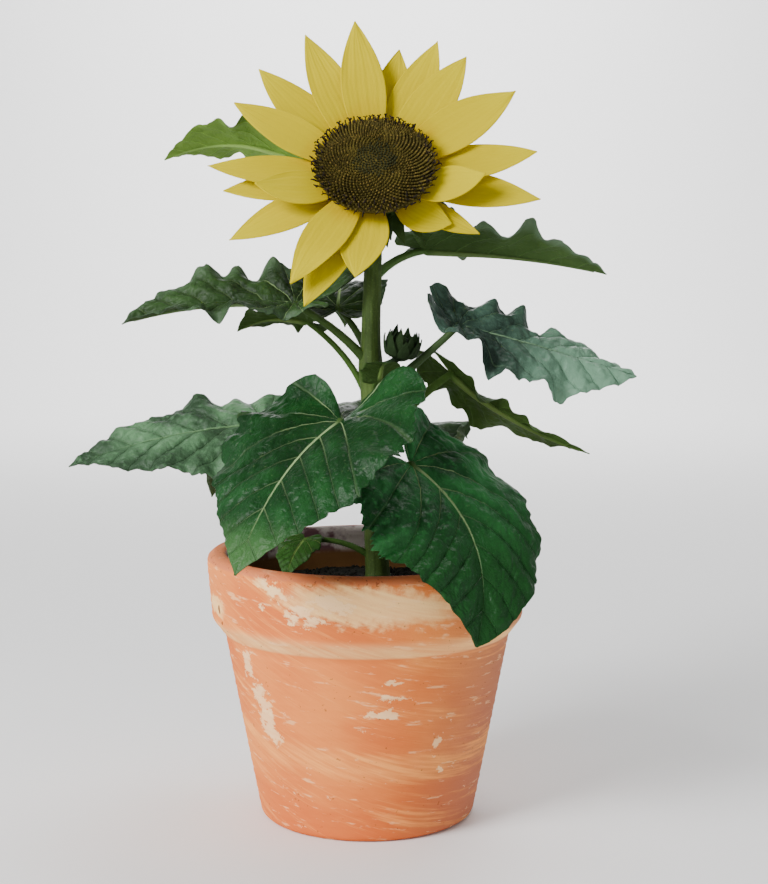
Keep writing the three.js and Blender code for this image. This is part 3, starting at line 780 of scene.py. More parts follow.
@dataclass(frozen=True)
class ClayFinish(Finish):
    """Fired clay with a swept tan belt, cream washes, flakes of pale lime, chips, a worn red lip, and painted
    shade on its +X side, away from the key light.

    The heights of the rim and of the band's foot are in metres.
    """

    name: str
    clay: Colour
    deep: Colour
    painted_shade: Colour
    wash: Colour
    cream: Colour
    lime: Colour
    lip: Colour
    stain: Colour
    salt: Colour
    damp: Colour
    flakes: tuple[Patch, ...]
    washes: tuple[Patch, ...]
    chips: tuple[Patch, ...]
    rim: float
    band: float

    def build(self) -> Any:
        """Lay the colours over each other from the clay up, and the inside of the wall last.

        Streaks and bands are noise drawn out round the pot, along a sweep: the height less 2.6 times the
        square of the distance from the right, so that they fall steeply on the left and level out.

        Returns:
            The material.
        """
        s = Shader(self.name)
        x, y, z = (s.node("ShaderNodeSeparateXYZ", {}, {0: s.place()}, axis) for axis in ("X", "Y", "Z"))
        reach = 0.07 - x
        sweep = z - reach * reach * 2.6
        bands = s.noise(1.0, 4.0, 0.6, self._drawn(s, x, y, sweep, 13.0, 62.0))
        streaks = s.noise(1.0, 5.0, 0.65, self._drawn(s, x, y, sweep, 26.0, 460.0))
        broad, grain, pits = s.noise(17.0, 3.0), s.noise(900.0, 3.0), s.noise(260.0, 2.0)
        torn = (s.noise(190.0, 4.0, 0.65) - 0.5) * 0.014

        colour = s.blend((broad * 0.75 + streaks * 0.3).rising(0.4, 0.66) * 0.85, self.clay, self.deep)
        colour = s.blend((1.0 - (z + (bands - 0.5) * 0.04).rising(0.01, 0.03)) * 0.7, colour, self.deep)
        # painted shade: the +X side, away from the key light, blended towards a greyish brown, more so low
        # down; the tan belt fades there
        painted_shade = (x - y.absolute() * 0.2 - z * 0.15).rising(-0.005, 0.05)
        colour = s.blend(painted_shade * 0.75, colour, self.painted_shade)
        belt = 1.0 - (z - reach * reach * 0.6 - 0.034).absolute().rising(0.003, 0.012)
        washed = (bands * 0.45 + streaks * 0.55 + belt * (1.0 - painted_shade * 0.6) * 0.14).rising(0.5, 0.7) * 0.85
        colour = s.blend(washed, colour, self.wash)

        ledge = z.rising(self.band - 0.0005, self.band + 0.001)
        ledge = ledge * (1.0 - z.rising(self.band + 0.004, self.band + 0.01))
        soft = self._cover(self.washes, x + torn, y, z + torn) + bands * 0.6 + streaks * 0.7 - 0.8
        soft = (soft.rising(0.1, 0.75) * (0.42 + streaks * 0.95)).larger(ledge * (streaks * 1.5 - 0.15))
        colour = s.blend(soft, colour, self.cream)

        thin = s.noise(1.0, 4.0, 0.6, self._drawn(s, x, y, z + x * 0.12, 75.0, 420.0))
        flake = s.noise(1.0, 6.0, 0.75, self._drawn(s, x, y, z + x * 0.3, 110.0, 200.0))
        fleck = (thin + bands * 0.14 + z.rising(0.03, 0.06) * 0.02).rising(0.68, 0.77) * 0.5
        cover = self._cover(self.flakes, x + torn, y, z + torn * 0.7)
        limed = (flake + cover * 0.3).rising(0.64, 0.7) * (0.45 + thin * 0.8)
        colour = s.blend(fleck.larger(limed), colour, self.lime)

        worn = z.rising(self.rim - 0.0036, self.rim - 0.0022) * (0.3 + grain * 0.8)
        colour = s.blend(worn.smaller(1.0), colour, self.lip)
        near_rim = z.rising(self.rim - 0.006, self.rim - 0.003)
        specks = (pits * 0.5 + grain * 0.5 + near_rim * 0.05).rising(0.64, 0.68)
        specks = specks.larger(self._cover(self.chips, x, y, z).rising(0.2, 0.5) * 1.5)
        colour = s.blend(specks * 0.6, colour, scaled(self.deep, 0.25))

        stain = s.noise(55.0, 4.0, 0.6).rising(0.44, 0.56)
        wall = s.blend(stain, self.stain, self.salt)
        wall = s.blend(1.0 - z.rising(self.rim - 0.013, self.rim - 0.009), wall, self.damp)
        lip = z.rising(self.rim - 0.0016, self.rim - 0.0004) * (1.0 - y.rising(0.0, 0.03))
        colour = s.blend(s.carried("inside") * (1.0 - lip), colour, wall)
        height = grain * 0.35 + pits * 0.25 + limed * 0.3 + streaks * 0.3
        return s.made(colour, 0.88 - limed * 0.06, s.bump(height, 0.0005, 0.7), Specular_IOR_Level=0.15)

    @staticmethod
    def _drawn(s: Shader, x: Value, y: Value, z: Value, wide: float, thin: float) -> Value:
        """A place scaled by wide across and by thin upwards, so that noise on it is drawn out."""
        return s.node("ShaderNodeCombineXYZ", {}, {0: x * wide, 1: y * wide, 2: z * thin})

    @staticmethod
    def _cover(patches: tuple[Patch, ...], x: Value, y: Value, z: Value) -> Any:
        """How thick the patches lie, the thickest counting.

        Each is 1 at its middle, less the square of the distance in shares of its half sizes, to 0 at its
        edge, and it lies only on the side of the pot that its bearing faces.

        Args:
            patches: The patches.
            x: The place along X, in metres.
            y: The place along Y.
            z: The height.

        Returns:
            The thickness, 0 to 1.
        """
        total: Any = 0.0
        for patch in patches:
            b = math.radians(patch.bearing)
            along = x * (-math.sin(b)) + y * math.cos(b)
            front = (x * math.cos(b) + y * math.sin(b)).rising(0.0, 0.01)
            across = along / (patch.wide * MM)
            rise = (z - patch.height * MM - along * math.tan(math.radians(patch.slant))) / (patch.tall * MM)
            total = ((1.0 - (across * across + rise * rise)).larger(0.0) * front).larger(total)
        return total


@dataclass(frozen=True)
class FloorFinish(Finish):
    """Plain pale backdrop."""

    name: str = "studio_backdrop"

    def build(self) -> Any:
        """One pale colour."""
        return Shader(self.name).made((0.9, 0.9, 0.9), 0.9)


# ---------------------------------------------------------------- pot and soil


@dataclass
class Pot:
    """The clay pot, turned from one profile; sizes as in the frame."""

    height: float = 125.7
    foot_radius: float = 50.8
    body_radius: float = 67.0
    band_foot_radius: float = 72.8
    rim_radius: float = 75.0
    band_height: float = 37.0
    band_slope: float = 7.0
    lip_radius: float = 4.5
    foot_rounding: float = 4.0
    mouth_radius: float = 64.5
    well_radius: float = 43.5
    floor: float = 9.0
    drain_radius: float = 7.0
    step: float = 1.2
    sides: int = 224
    finish: ClayFinish = field(
        default_factory=lambda: ClayFinish(
            "fired_clay",
            clay=(0.83, 0.25, 0.055),
            deep=(0.66, 0.14, 0.03),
            # painted shade for the pot's +X side, away from the key light
            painted_shade=(0.42, 0.17, 0.11),
            wash=(1.0, 0.41, 0.1),
            cream=(1.0, 0.62, 0.25),
            lime=(1.0, 0.64, 0.32),
            lip=(0.6, 0.18, 0.08),
            stain=(0.13, 0.06, 0.07),
            salt=(0.5, 0.42, 0.4),
            damp=(0.14, 0.065, 0.02),
            flakes=(
                Patch(256, 115, 11, 4.5, -2), Patch(244, 108, 5.5, 6.5), Patch(248, 110, 7, 4),
                Patch(252, 105, 6.5, 5), Patch(263, 112, 9, 3), Patch(237, 118, 10, 3.5, -35),
                Patch(232, 110, 3, 2.5), Patch(214, 80, 6, 9), Patch(221, 65, 9, 10),
                Patch(223, 54, 8.5, 9.5), Patch(226, 47, 6, 6, -30), Patch(277, 62, 11, 2.8, 3),
                Patch(280, 69, 9, 2.4, 2), Patch(281, 77, 6, 1.5), Patch(302, 46, 3, 2.6),
                Patch(306, 33, 3, 2.6), Patch(30, 70, 12, 10, 12), Patch(90, 50, 10, 13, -14),
                Patch(140, 104, 15, 6, -10), Patch(175, 60, 10, 9, 14), Patch(60, 107, 13, 5, -10),
            ),
            washes=(
                Patch(274, 113, 54, 13, -4), Patch(236, 119, 12, 4, -20), Patch(330, 108, 22, 12),
                Patch(200, 104, 16, 6), Patch(120, 108, 30, 10, 6), Patch(50, 112, 30, 9, -4),
            ),
            chips=(Patch(204, 103, 1.6, 2.6), Patch(206, 97, 1, 1)),
            rim=0.1257,
            band=0.0885,
        )
    )

    def profile(self) -> tuple[Array, Array]:
        """The profile: corners joined by straight runs, which are filled evenly, and arcs at foot and lip.

        Returns:
            The points, n by 2, and how far each is on the pot's inside, 0 or 1.
        """
        band = self.height - self.band_height
        lip_z = self.height - self.lip_radius
        foot = self.foot_rounding
        outside = [
            [self.drain_radius, 0.0],
            *arc(self.foot_radius - foot, foot, foot, -90, -10, 8),
            [self.body_radius - 0.35, band - 1.5],
            [self.body_radius + 0.2, band - 0.4],
            [self.body_radius + 1.0, band + 0.5],
            [self.band_foot_radius - 1.9, band + self.band_slope * 0.62],
            [self.band_foot_radius - 0.9, band + self.band_slope * 0.8],
            [self.band_foot_radius - 0.2, band + self.band_slope * 0.95],
            [self.band_foot_radius, band + self.band_slope + 1.2],
            *arc(self.rim_radius - self.lip_radius, lip_z, self.lip_radius, 0, 90, 10),
        ]
        inside = [
            *arc(self.mouth_radius + self.lip_radius, lip_z, self.lip_radius, 90, 180, 10),
            [self.well_radius + 0.4, self.floor + 2.0],
            [self.well_radius - 1.5, self.floor],
            [self.drain_radius, self.floor],
            [self.drain_radius, 0.0],
        ]
        corners = vec(outside + inside)
        flags = np.repeat([0.0, 1.0], [len(outside), len(inside)])
        runs = np.linalg.norm(np.diff(corners, axis=0), axis=1)
        steps = np.maximum(1, np.round(runs / self.step).astype(int))
        place = np.concatenate([np.linspace(i, i + 1, n, endpoint=False) for i, n in enumerate(steps)])
        index = np.arange(len(corners))
        points = np.stack([np.interp(place, index, corners[:, k]) for k in (0, 1)], -1)
        return points, np.interp(place, index, flags)

    @staticmethod
    def relief(angle: Array, r: Array, z: Array) -> Array:
        """Turning marks, which are waves of the radius with the height, and a slow unevenness round it.

        Args:
            angle: Angle round the pot, in radians.
            r: Radius.
            z: Height.

        Returns:
            What is added to the radius; nothing by the drain hole and on the foot.
        """
        marks = 0.1 * np.sin(z * 1.9 + 0.6 * np.sin(angle))
        marks = marks + 0.07 * np.sin(z * 4.3 + 1.4 * np.sin(angle + 1.0))
        slow = 0.22 * np.sin(2 * angle + z * 0.02) + 0.12 * np.sin(5 * angle + 1.3)
        return (marks + slow) * smooth(20.0, 40.0, r) * smooth(1.0, 8.0, z)

    def build(self) -> None:
        """Turn the pot and dress it; its points carry how far they are inside."""
        points, flags = self.profile()
        skin = turned(points, self.sides, self.relief)
        skin.values["inside"] = np.repeat(flags, self.sides)
        skin.object("clay_pot", self.finish, ["pot"], "clay")


@dataclass
class Soil:
    """The potting soil: a low uneven mound strewn with crumbs, and its mass below."""

    level: float = 108.0
    mound: float = 1.5
    radius: float = 61.2
    crumbs: int = 1500
    seed: int = 11
    # near black: the soil's own dark colour together with painted shade, the shadow under the leaves
    finish: GrainFinish = GrainFinish(
        "potting_soil_and_shade", (0.004, 0.005, 0.003), (0.016, 0.014, 0.009), scale=1500.0, rough=0.85
    )

    def build(self) -> None:
        """Height = level less the mound's fall, plus two noises; crumbs are squashed six-sided lumps."""
        r = np.append(np.linspace(self.radius, 1.0, 44), 0.0)
        top = np.stack([r, self.level - 0.8 - self.mound * (r / self.radius) ** 2], -1)
        below = vec([[0.0, 0.0], [6.7, 0.0], [6.7, 9.3], [43.1, 9.3], [60.9, self.level - self.mound - 1.6]])
        body = turned(np.concatenate([below, top]), 120)
        x, y, z = body.points.T
        rough = 0.7 * lattice_noise(x / 7.0 + 20, y / 7.0 + 20, self.seed)
        rough += 0.5 * lattice_noise(x / 2.6 + 30, y / 2.6 + 30, self.seed + 1)
        body.points[:, 2] += rough * (z > self.level - self.mound - 1.2)
        rng = np.random.default_rng(self.seed)
        far = self.radius * 0.985 * np.sqrt(rng.uniform(0.0, 1.0, self.crumbs))
        turn = rng.uniform(0.0, 2.0 * np.pi, self.crumbs)
        height = self.level - 0.6 - self.mound * (far / self.radius) ** 2
        places = polar(far, turn, height)
        ball = turned(vec([[0.0, -1.0], [0.8, -0.55], [1.0, 0.1], [0.7, 0.75], [0.0, 1.0]]), 6)
        squash = rng.uniform(0.5, 1.0, (self.crumbs, 3))
        size = rng.choice([0.7, 1.0, 1.7], (self.crumbs, 1), p=[0.5, 0.38, 0.12])
        lumps = scattered(ball, places, turns_to(rng.normal(size=(self.crumbs, 3)), turn), squash * size)
        Skin.joined([body, lumps]).object("potting_soil_and_shade", self.finish, ["soil"], "soil")


# ---------------------------------------------------------------- stem


@dataclass
class Stem:
    """The main stem: a hairy tapering tube from the soil into the bloom's cup."""

    line: tuple[tuple[float, float, float], ...] = (
        (5.2, 1.0, 108.0), (4.0, 1.5, 135.0), (2.6, 0.5, 178.0), (1.8, 0.5, 217.0),
        (2.9, 3.5, 259.0), (3.6, 9.0, 283.0), (3.9, 3.5, 296.5),
    )
    foot_radius: float = 5.6
    top_radius: float = 3.7
    flare: float = 2.2
    flare_height: float = 9.0
    node_height: float = 211.0
    node_swell: float = 1.1
    node_reach: float = 9.0
    full_height: float = 303.0
    hairs: int = 1300
    finish: StalkFinish = StalkFinish("hairy_stem", (0.052, 0.094, 0.017), (0.12, 0.19, 0.045))

    def at(self, height: Array | float) -> Array:
        """The middle line at given heights: x and y follow a Hermite curve in z through the line's points.

        Args:
            height: One height or an array of them.

        Returns:
            The points, n by 3.
        """
        knots = vec(self.line)
        z = np.atleast_1d(np.asarray(height, dtype=float))
        slopes = np.gradient(knots[:, :2], knots[:, 2], axis=0)
        i = np.clip(np.searchsorted(knots[:, 2], z) - 1, 0, len(knots) - 2)
        gap = (knots[i + 1, 2] - knots[i, 2])[:, None]
        s = np.clip((z - knots[i, 2])[:, None] / gap, 0.0, 1.0)
        h1, h2 = 2 * s**3 - 3 * s**2 + 1, s**3 - 2 * s**2 + s
        h3, h4 = 3 * s**2 - 2 * s**3, s**3 - s**2
        xy = h1 * knots[i, :2] + h2 * gap * slopes[i] + h3 * knots[i + 1, :2] + h4 * gap * slopes[i + 1]
        return np.concatenate([xy, z[:, None]], axis=1)

    def radius(self, height: Array) -> Array:
        """The radius at given heights: an even taper, a flare at the foot and a swelling at the node.

        The flare falls off as a square over its height, and the swelling as a bell curve.

        Args:
            height: The heights.

        Returns:
            The radii.
        """
        above = height - self.line[0][2]
        share = above / (self.full_height - self.line[0][2])
        foot = np.maximum(0.0, 1.0 - above / self.flare_height)
        swelling = self.node_swell * np.exp(-(((height - self.node_height) / self.node_reach) ** 2))
        return mix(self.foot_radius, self.top_radius, share) + self.flare * foot**2 + swelling

    @staticmethod
    def ribs(angle: Array, run: Array) -> Array:
        """Ten soft ribs that wind a little, and 23 finer ones."""
        return 0.13 * np.cos(10 * angle + 0.02 * run) + 0.05 * np.cos(23 * angle)

    def build(self) -> None:
        """The ribbed tube, with hairs that stand out of it."""
        z = np.concatenate([np.linspace(106.5, 289.0, 150), [291.0, 293.0, 295.0]])
        skin = tube(self.at(z), self.radius(z), 40, self.ribs)
        rng = np.random.default_rng(5)
        height = rng.uniform(112.0, 286.0, self.hairs)
        turn = rng.uniform(0.0, 2.0 * np.pi, self.hairs)
        outward = polar(1.0, turn, rng.uniform(-0.3, 0.3, self.hairs))
        feet = self.at(height) + unit(outward * [1, 1, 0]) * (self.radius(height) - 0.1)[:, None]
        down = hairs(feet, outward, rng.uniform(0.9, 1.9, self.hairs))
        Skin.joined([skin, down]).object("main_stem", self.finish, ["stem"], "stem")


def hairs(feet: Array, headings: Array, lengths: Array) -> Skin:
    """Short three-sided hairs, each a cone 0.055 mm in radius at its foot.

    Args:
        feet: Where they stand, n by 3.
        headings: Which way each points, n by 3.
        lengths: Length of each.

    Returns:
        The hairs, joined.
    """
    a = np.radians([0.0, 120.0, 240.0])
    cone = Skin(
        np.concatenate([polar(0.055, a, 0 * a), [[0.0, 0.0, 1.0]]]),
        triangles=np.array([[0, 1, 3], [1, 2, 3], [2, 0, 3], [2, 1, 0]]),
    )
    sizes = np.stack([np.ones_like(lengths), np.ones_like(lengths), lengths], -1)
    return scattered(cone, feet, turns_to(headings, np.zeros(len(feet))), sizes)


# ---------------------------------------------------------------- leaves


class Tint(Enum):
    """The leaves' tints, by age and with light painted in: the shaded tint is painted shade, the olive tint
    is partly painted light falling through the leaf from behind, the blue tint is partly a painted reflection
    of the sky, and the tip colours are painted light.
    """

    # painted light: upper side lightened against the shadow cast on the blade's base, with a darker tip
    # colour towards the tip
    DEEP = LeafFinish(
        "leaf_deep", (0.02, 0.125, 0.032), (0.024, 0.056, 0.01), (0.35, 0.49, 0.22), shine=0.28,
        tip=(0.0085, 0.052, 0.011), hazed=(0.22, 0.65), uneven=1.5,
    )
    # lighter tip colour: painted sheen towards the tip
    HAZED = LeafFinish(
        "leaf_hazed", (0.0065, 0.042, 0.009), (0.024, 0.056, 0.01), (0.35, 0.49, 0.22), shine=0.28,
        tip=(0.04, 0.11, 0.03),
    )
    # darker tint: painted shade; lighter tip colour on the margin: painted sheen
    SHADED = LeafFinish(
        "leaf_shaded", (0.019, 0.044, 0.012), (0.03, 0.058, 0.013), shine=0.34,
        tip=(0.075, 0.13, 0.07), hazed=(0.95, 1.1), margin=0.5, uneven=1.5,
    )
    PALE = LeafFinish(
        "leaf_pale", (0.06, 0.128, 0.062), (0.045, 0.08, 0.022), (0.14, 0.26, 0.12), uneven=1.6
    )
    # bluish tone partly a painted reflection of the sky; lighter tip colour: painted sheen towards the tip
    BLUE = LeafFinish(
        "leaf_blue", (0.038, 0.076, 0.054), (0.03, 0.055, 0.018), (0.15, 0.25, 0.14), shine=0.26,
        tip=(0.135, 0.26, 0.17), hazed=(0.2, 0.75), uneven=1.6,
    )
    # lighter olive tone partly painted light falling through the leaf from behind
    OLIVE = LeafFinish(
        "leaf_olive", (0.046, 0.1, 0.018), (0.036, 0.075, 0.013), (0.12, 0.18, 0.045), shine=0.45
    )
    # lighter tip colour on the margin: painted sheen
    SAGE = LeafFinish(
        "leaf_sage", (0.05, 0.1, 0.03), (0.048, 0.095, 0.024), (0.12, 0.19, 0.06), shine=0.38,
        tip=(0.12, 0.19, 0.11), hazed=(0.95, 1.1), margin=0.9,
    )
    FRESH = LeafFinish(
        "leaf_fresh", (0.1, 0.19, 0.03), (0.14, 0.26, 0.04), (0.25, 0.38, 0.1), shine=0.42
    )
    YOUNG = LeafFinish(
        "leaf_young", (0.018, 0.055, 0.009), (0.04, 0.085, 0.017), (0.13, 0.2, 0.05), shine=0.42
    )


@dataclass
class Leaf:
    """One leaf on its stalk.

    The stalk leaves the stem at the height, going up by the rise in degrees, and meets the blade at the
    joint. The blade runs on to the tip, arched up and bowed aside by shares of its length. Sides (shares
    of the half width), lobes and lobe lifts are for the left and the right half, roll and fold, in
    degrees, for the joint and the tip. The curl is how many degrees a half bends by on its way to the
    margin, and ruffle and crisp are the heights of the margin's waves.
    """

    node: str
    height: float
    rise: float
    joint: tuple[float, float, float]
    tip: tuple[float, float, float]
    arch: float
    bow: float
    width: float
    sides: tuple[float, float]
    roll: tuple[float, float]
    fold: tuple[float, float]
    curl: float
    ruffle: float
    crisp: float
    lobe_lift: tuple[float, float]
    stalk: float
    tint: Tint = Tint.DEEP
    lobes: tuple[float, float] = (1.0, 1.0)
    taper: tuple[float, float] = (2.25, 1.0)
    teeth: int = 5
    lobe: float = 0.2
    lobe_centre: float = 0.48
    joint_width: float = 0.93
    waves: float = 2.5
    crisp_phase: float = 0.64
    quilt: float = 0.7
    veins: float = 6.0
    vein_slope: float = 0.95
    thickness: float = 0.55
    stalk_points: int = 30
    stalk_sides: int = 14

    @property
    def seed(self) -> int:
        """A seed of the leaf's own."""
        return int(self.height * 7 + self.width * 3 + len(self.node))

    @property
    def length(self) -> float:
        """The straight length from joint to tip."""
        return float(np.linalg.norm(vec(self.tip) - vec(self.joint)))

    def rib(self, t: Array) -> tuple[Array, Array, Array]:
        """The midrib's points and, square to it, the left side and the upper side.

        The midrib is a quadratic curve from joint to tip, whose middle control point stands off by twice
        the arch and the bow; before the joint it runs on straight.

        Args:
            t: Shares of the length, under 0 behind the joint.

        Returns:
            Points, left and up, each n by 3.
        """
        start, end = vec(self.joint), vec(self.tip)
        chord = end - start
        level = unit(vec([-chord[1], chord[0], 0.0]))
        over = np.cross(unit(chord), level)
        control = (start + end) / 2 + 2 * self.length * (self.arch * over + self.bow * level)
        s = np.maximum(t, 0.0)[:, None]
        point = quadratic(start, control, end, s)
        ahead = unit(2 * (1 - s) * (control - start) + 2 * s * (end - control))
        point = point + ahead * np.minimum(t, 0.0)[:, None] * self.length
        left = unit(level - ahead * (ahead @ level)[:, None])
        up = np.cross(ahead, left)
        roll = np.radians(mix(self.roll[0], self.roll[1], s))
        return point, left * np.cos(roll) + up * np.sin(roll), up * np.cos(roll) - left * np.sin(roll)

    def half_width(self, place: Array) -> Array:
        """Half the width as a share of the widest.

        Ahead of the joint it is (1 - t^a)^b times (width at the joint + 0.8 t (1 - t)), with the taper's a
        and b, and behind it a lobe's quarter ellipse.

        Args:
            place: Shares of the length ahead of the joint, and of the lobes' reach, under 0, behind it.

        Returns:
            The half widths.
        """
        t = np.clip(place, 0.0, 1.0)
        blade = np.maximum(0.0, 1 - t ** self.taper[0]) ** self.taper[1]
        blade = blade * (self.joint_width + 0.8 * t * (1 - t))
        back = np.clip(-place, 0.0, 1.0)
        lobe = self.lobe_centre + (self.joint_width - self.lobe_centre) * np.sqrt(1 - back**2)
        return np.where(place < 0, lobe, blade)

    def teeth_at(self, place: Array, side: int) -> Array:
        """How far the margin's teeth stand out, as a share of the half width.

        Saw teeth that lean to the tip: large ones as in the frame, and small ones of uneven size on them.

        Args:
            place: Places as for the half width.
            side: 1 for the left half, -1 for the right.

        Returns:
            The teeth, none at the tip.
        """
        t = np.maximum(place, 0.0)
        step = (t * self.teeth) % 1.0
        large = np.where(step < 0.78, mix(-0.03, 0.05, step / 0.78), mix(0.05, -0.03, (step - 0.78) / 0.22))
        count = max(9.0, self.length / 4.6)
        run = (place + 1.0) * count
        small_step = run % 1.0
        rng = np.random.default_rng(self.seed + side)
        size = rng.uniform(0.4, 1.3, 80)[np.floor(run).astype(int) % 80]
        small = np.where(small_step < 0.72, small_step / 0.72, (1.0 - small_step) / 0.28) - 0.5
        return (np.where(place < 0, 0.0, large) + small * size * 0.05) * (1.0 - smooth(0.88, 1.0, place))

    def ruffle_at(self, side: int, t: Array, share: Array) -> Array:
        """Waves of the margin: the frame's slow wave and crisped teeth, and a quicker wave between them.

        They grow as the square and the cube of the share of the half width.

        Args:
            side: 1 for the left half, -1 for the right.
            t: Shares of the length.
            share: Shares of the widest half width.

        Returns:
            The rise of the blade.
        """
        phase = 0.15 if side > 0 else 0.6
        slow = np.sin(2 * np.pi * (self.waves * t + phase + self.height * 0.37))
        quick = np.sin(2 * np.pi * (self.waves * 2.7 * t + phase * 3 + self.height * 0.61))
        crisp = np.sin(2 * np.pi * (self.teeth * t + self.crisp_phase)) * np.clip(8 * t, 0.0, 1.0)
        return self.ruffle * share**2 * (slow + 0.3 * share**2 * quick) + self.crisp * share**3 * crisp

    def vein_number(self, u: Array, w: Array, share: Array) -> Array:
        """A number that is whole on each side vein.

        Ahead of the lowest side vein it is veins × (u - slope · w (1 + share/3)) / length; behind that
        vein it falls with the angle from it, one for each 34 degrees.

        Args:
            u: Distance along the midrib.
            w: Distance out from it.
            share: Shares of the widest half width.

        Returns:
            The numbers.
        """
        slope = self.vein_slope * (1 + share / 3)
        q = (u - slope * w) / self.length
        back = (np.arctan2(w, u) - np.arctan2(1.0, slope)) / np.radians(34.0)
        return np.where(q >= 0, q * self.veins, -np.maximum(back, 0.0))

    def half_blade(self, side: int) -> Skin:
        """One half of the blade, from the midrib out to the margin.

        Each row folds up from the midrib and bends on by the curl: across = ∫cos, rise = ∫sin of
        (fold + curl · w / half width); ruffles, lifted lobes and the quilting between veins are added.

        Args:
            side: 1 for the left half, -1 for the right.

        Returns:
            The half as a thin closed sheet, with the values that the leaf's finish reads.
        """
        hand = 0 if side > 0 else 1
        fine = 1
        lobe_rows = 18 // fine
        rows = max(12, int(self.length / (0.95 * fine)))
        columns = max(8, int(self.width / (1.5 * fine)))
        behind = np.linspace(-1.0, 0.0, lobe_rows, endpoint=False)
        place = np.concatenate([behind, np.linspace(0.0, 1.0, rows)])
        t = np.where(place < 0, place * (self.lobe * self.lobes[hand]), place)
        point, left, up = self.rib(t)
        back = np.clip(-place, 0.0, 1.0)
        inner = self.lobe_centre * (1 - np.sqrt(1 - back**1.2))
        outer = np.maximum(self.half_width(place) * (1 + self.teeth_at(place, side)), inner + 0.012)
        v = np.linspace(0.0, 1.0, columns) ** 0.92
        share = inner[:, None] + (outer - inner)[:, None] * v
        half = self.width / 2 * self.sides[hand]
        w = share * half
        fold = np.radians(mix(self.fold[0], self.fold[1], np.maximum(t, 0.0)))[:, None]
        bend = math.radians(self.curl) / half
        across = (np.sin(fold + bend * w) - np.sin(fold)) / bend
        rise = (np.cos(fold) - np.cos(fold + bend * w)) / bend
        u = np.broadcast_to((t * self.length)[:, None], w.shape)
        number = self.vein_number(u, w, share)
        rung = w / 4.5 + 1.6 * lattice_noise(u / 6.0 + 20, w / 6.0 + 20 * side, self.seed)
        off = 0.5 - np.abs(number % 1.0 - 0.5)
        puff = np.sqrt(np.clip(off * 2.0, 0.0, 1.0)) * smooth(0.0, 0.16, share) * (1 - share**4)
        blister = np.sin(np.pi * rung) ** 2 * smooth(0.0, 0.3, off * 2.0)
        dents = lattice_noise(u / 3.6 + 20, w / 3.6 + 20 * side, self.seed)
        dents = 0.5 * dents + 0.35 * lattice_noise(u / 1.9 + 20, w / 1.9 + 20, self.seed + 3)
        swell = 1.5 * puff + 0.2 * blister * (1 - share**6) + dents * smooth(0.03, 0.2, share)
        rise = rise + self.ruffle_at(side, t[:, None], share)
        rise = rise + self.lobe_lift[hand] * (back**2)[:, None]
        rise = rise + self.quilt * swell * min(1.0, self.length / 80.0)
        surface = point[:, None] + side * across[..., None] * left[:, None] + rise[..., None] * up[:, None]
        thick = self.thickness * (1 - 0.6 * np.broadcast_to(v, w.shape) ** 6)
        values = {"vein": number, "rung": rung, "out": w}
        values.update(along=np.broadcast_to(t[:, None], w.shape), edge=np.broadcast_to(v, w.shape))
        return sheet(surface, thick, values, over=-side)

    def stalk_path(self, stem: Stem) -> tuple[Array, Array, Array]:
        """The stalk, which runs on as the rib, sunk in the blade's underside.

        The stalk is a quadratic curve that leaves the stem at its rise and swells towards it; the rib
        follows the midrib, and its radius falls with the distance to the tip.

        Args:
            stem: The stem that it leaves.

        Returns:
            Points of the middle line, n by 3, the radii there, and shares of the midrib, 0 on the stalk.
        """
        start, end = stem.at(self.height)[0], vec(self.joint)
        along = end - start
        bearing = math.degrees(math.atan2(along[1], along[0]))
        control = start + direction(bearing, self.rise) * np.linalg.norm(along) / 2
        run = np.linspace(0.0, 1.0, self.stalk_points)
        s = run[:, None]
        stalk = quadratic(start, control, end, s)
        t = np.linspace(0.02, 0.93, 40)
        point, _, up = self.rib(t)
        sunk = 0.25 + 0.25 * smooth(0.02, 0.2, t)
        rib = point - up * (self.thickness * 0.4 + sunk * self.stalk * (1 - t) ** 1.5)[:, None]
        stalk_radius = self.stalk * (1.0 + 0.5 * np.exp(-run * 9.0)) * mix(1.0, 0.72, run)
        rib_radius = self.stalk * 0.62 * (1 - t) ** 1.1 + 0.28
        radius = np.concatenate([stalk_radius, rib_radius])
        return np.concatenate([stalk, rib]), radius, np.concatenate([0.0 * run, t])

    def build(self, stem: Stem) -> None:
        """Make the blade, the stalk with its rib, and the stalk's hairs as one piece.

        Args:
            stem: The stem that the stalk leaves.
        """
        path, radius, run = self.stalk_path(stem)
        rib = tube(path, radius, self.stalk_sides, lambda a, far: 0.06 * np.cos(5 * a) + 0.0 * far)
        count = len(rib.points)
        along = np.concatenate([np.repeat(run, self.stalk_sides), run[[0, -1]]])
        green = 1.0 - 0.7 * smooth(0.0, 0.08, along)
        rib.values.update(under=green, out=np.zeros(count), vein=np.full(count, 0.5), along=along)
        rng = np.random.default_rng(self.seed)
        number = int(np.linalg.norm(vec(self.joint) - path[0]) * 6)
        i = rng.integers(3, self.stalk_points - 1, number)
        ahead = unit(path[i + 1] - path[i])
        outward = rng.normal(size=(number, 3))
        outward -= ahead * np.sum(outward * ahead, axis=1, keepdims=True)
        feet = path[i] + unit(outward) * (radius[i] * 0.95)[:, None]
        down = hairs(feet, unit(outward), rng.uniform(0.7, 1.5, number))
        down.values.update(under=np.ones(len(down.points)), vein=np.full(len(down.points), 0.5))
        whole = Skin.joined([self.half_blade(1), self.half_blade(-1), rib, down])
        whole.object(f"{self.node}_blade", self.tint.value, [self.node], "leaf")


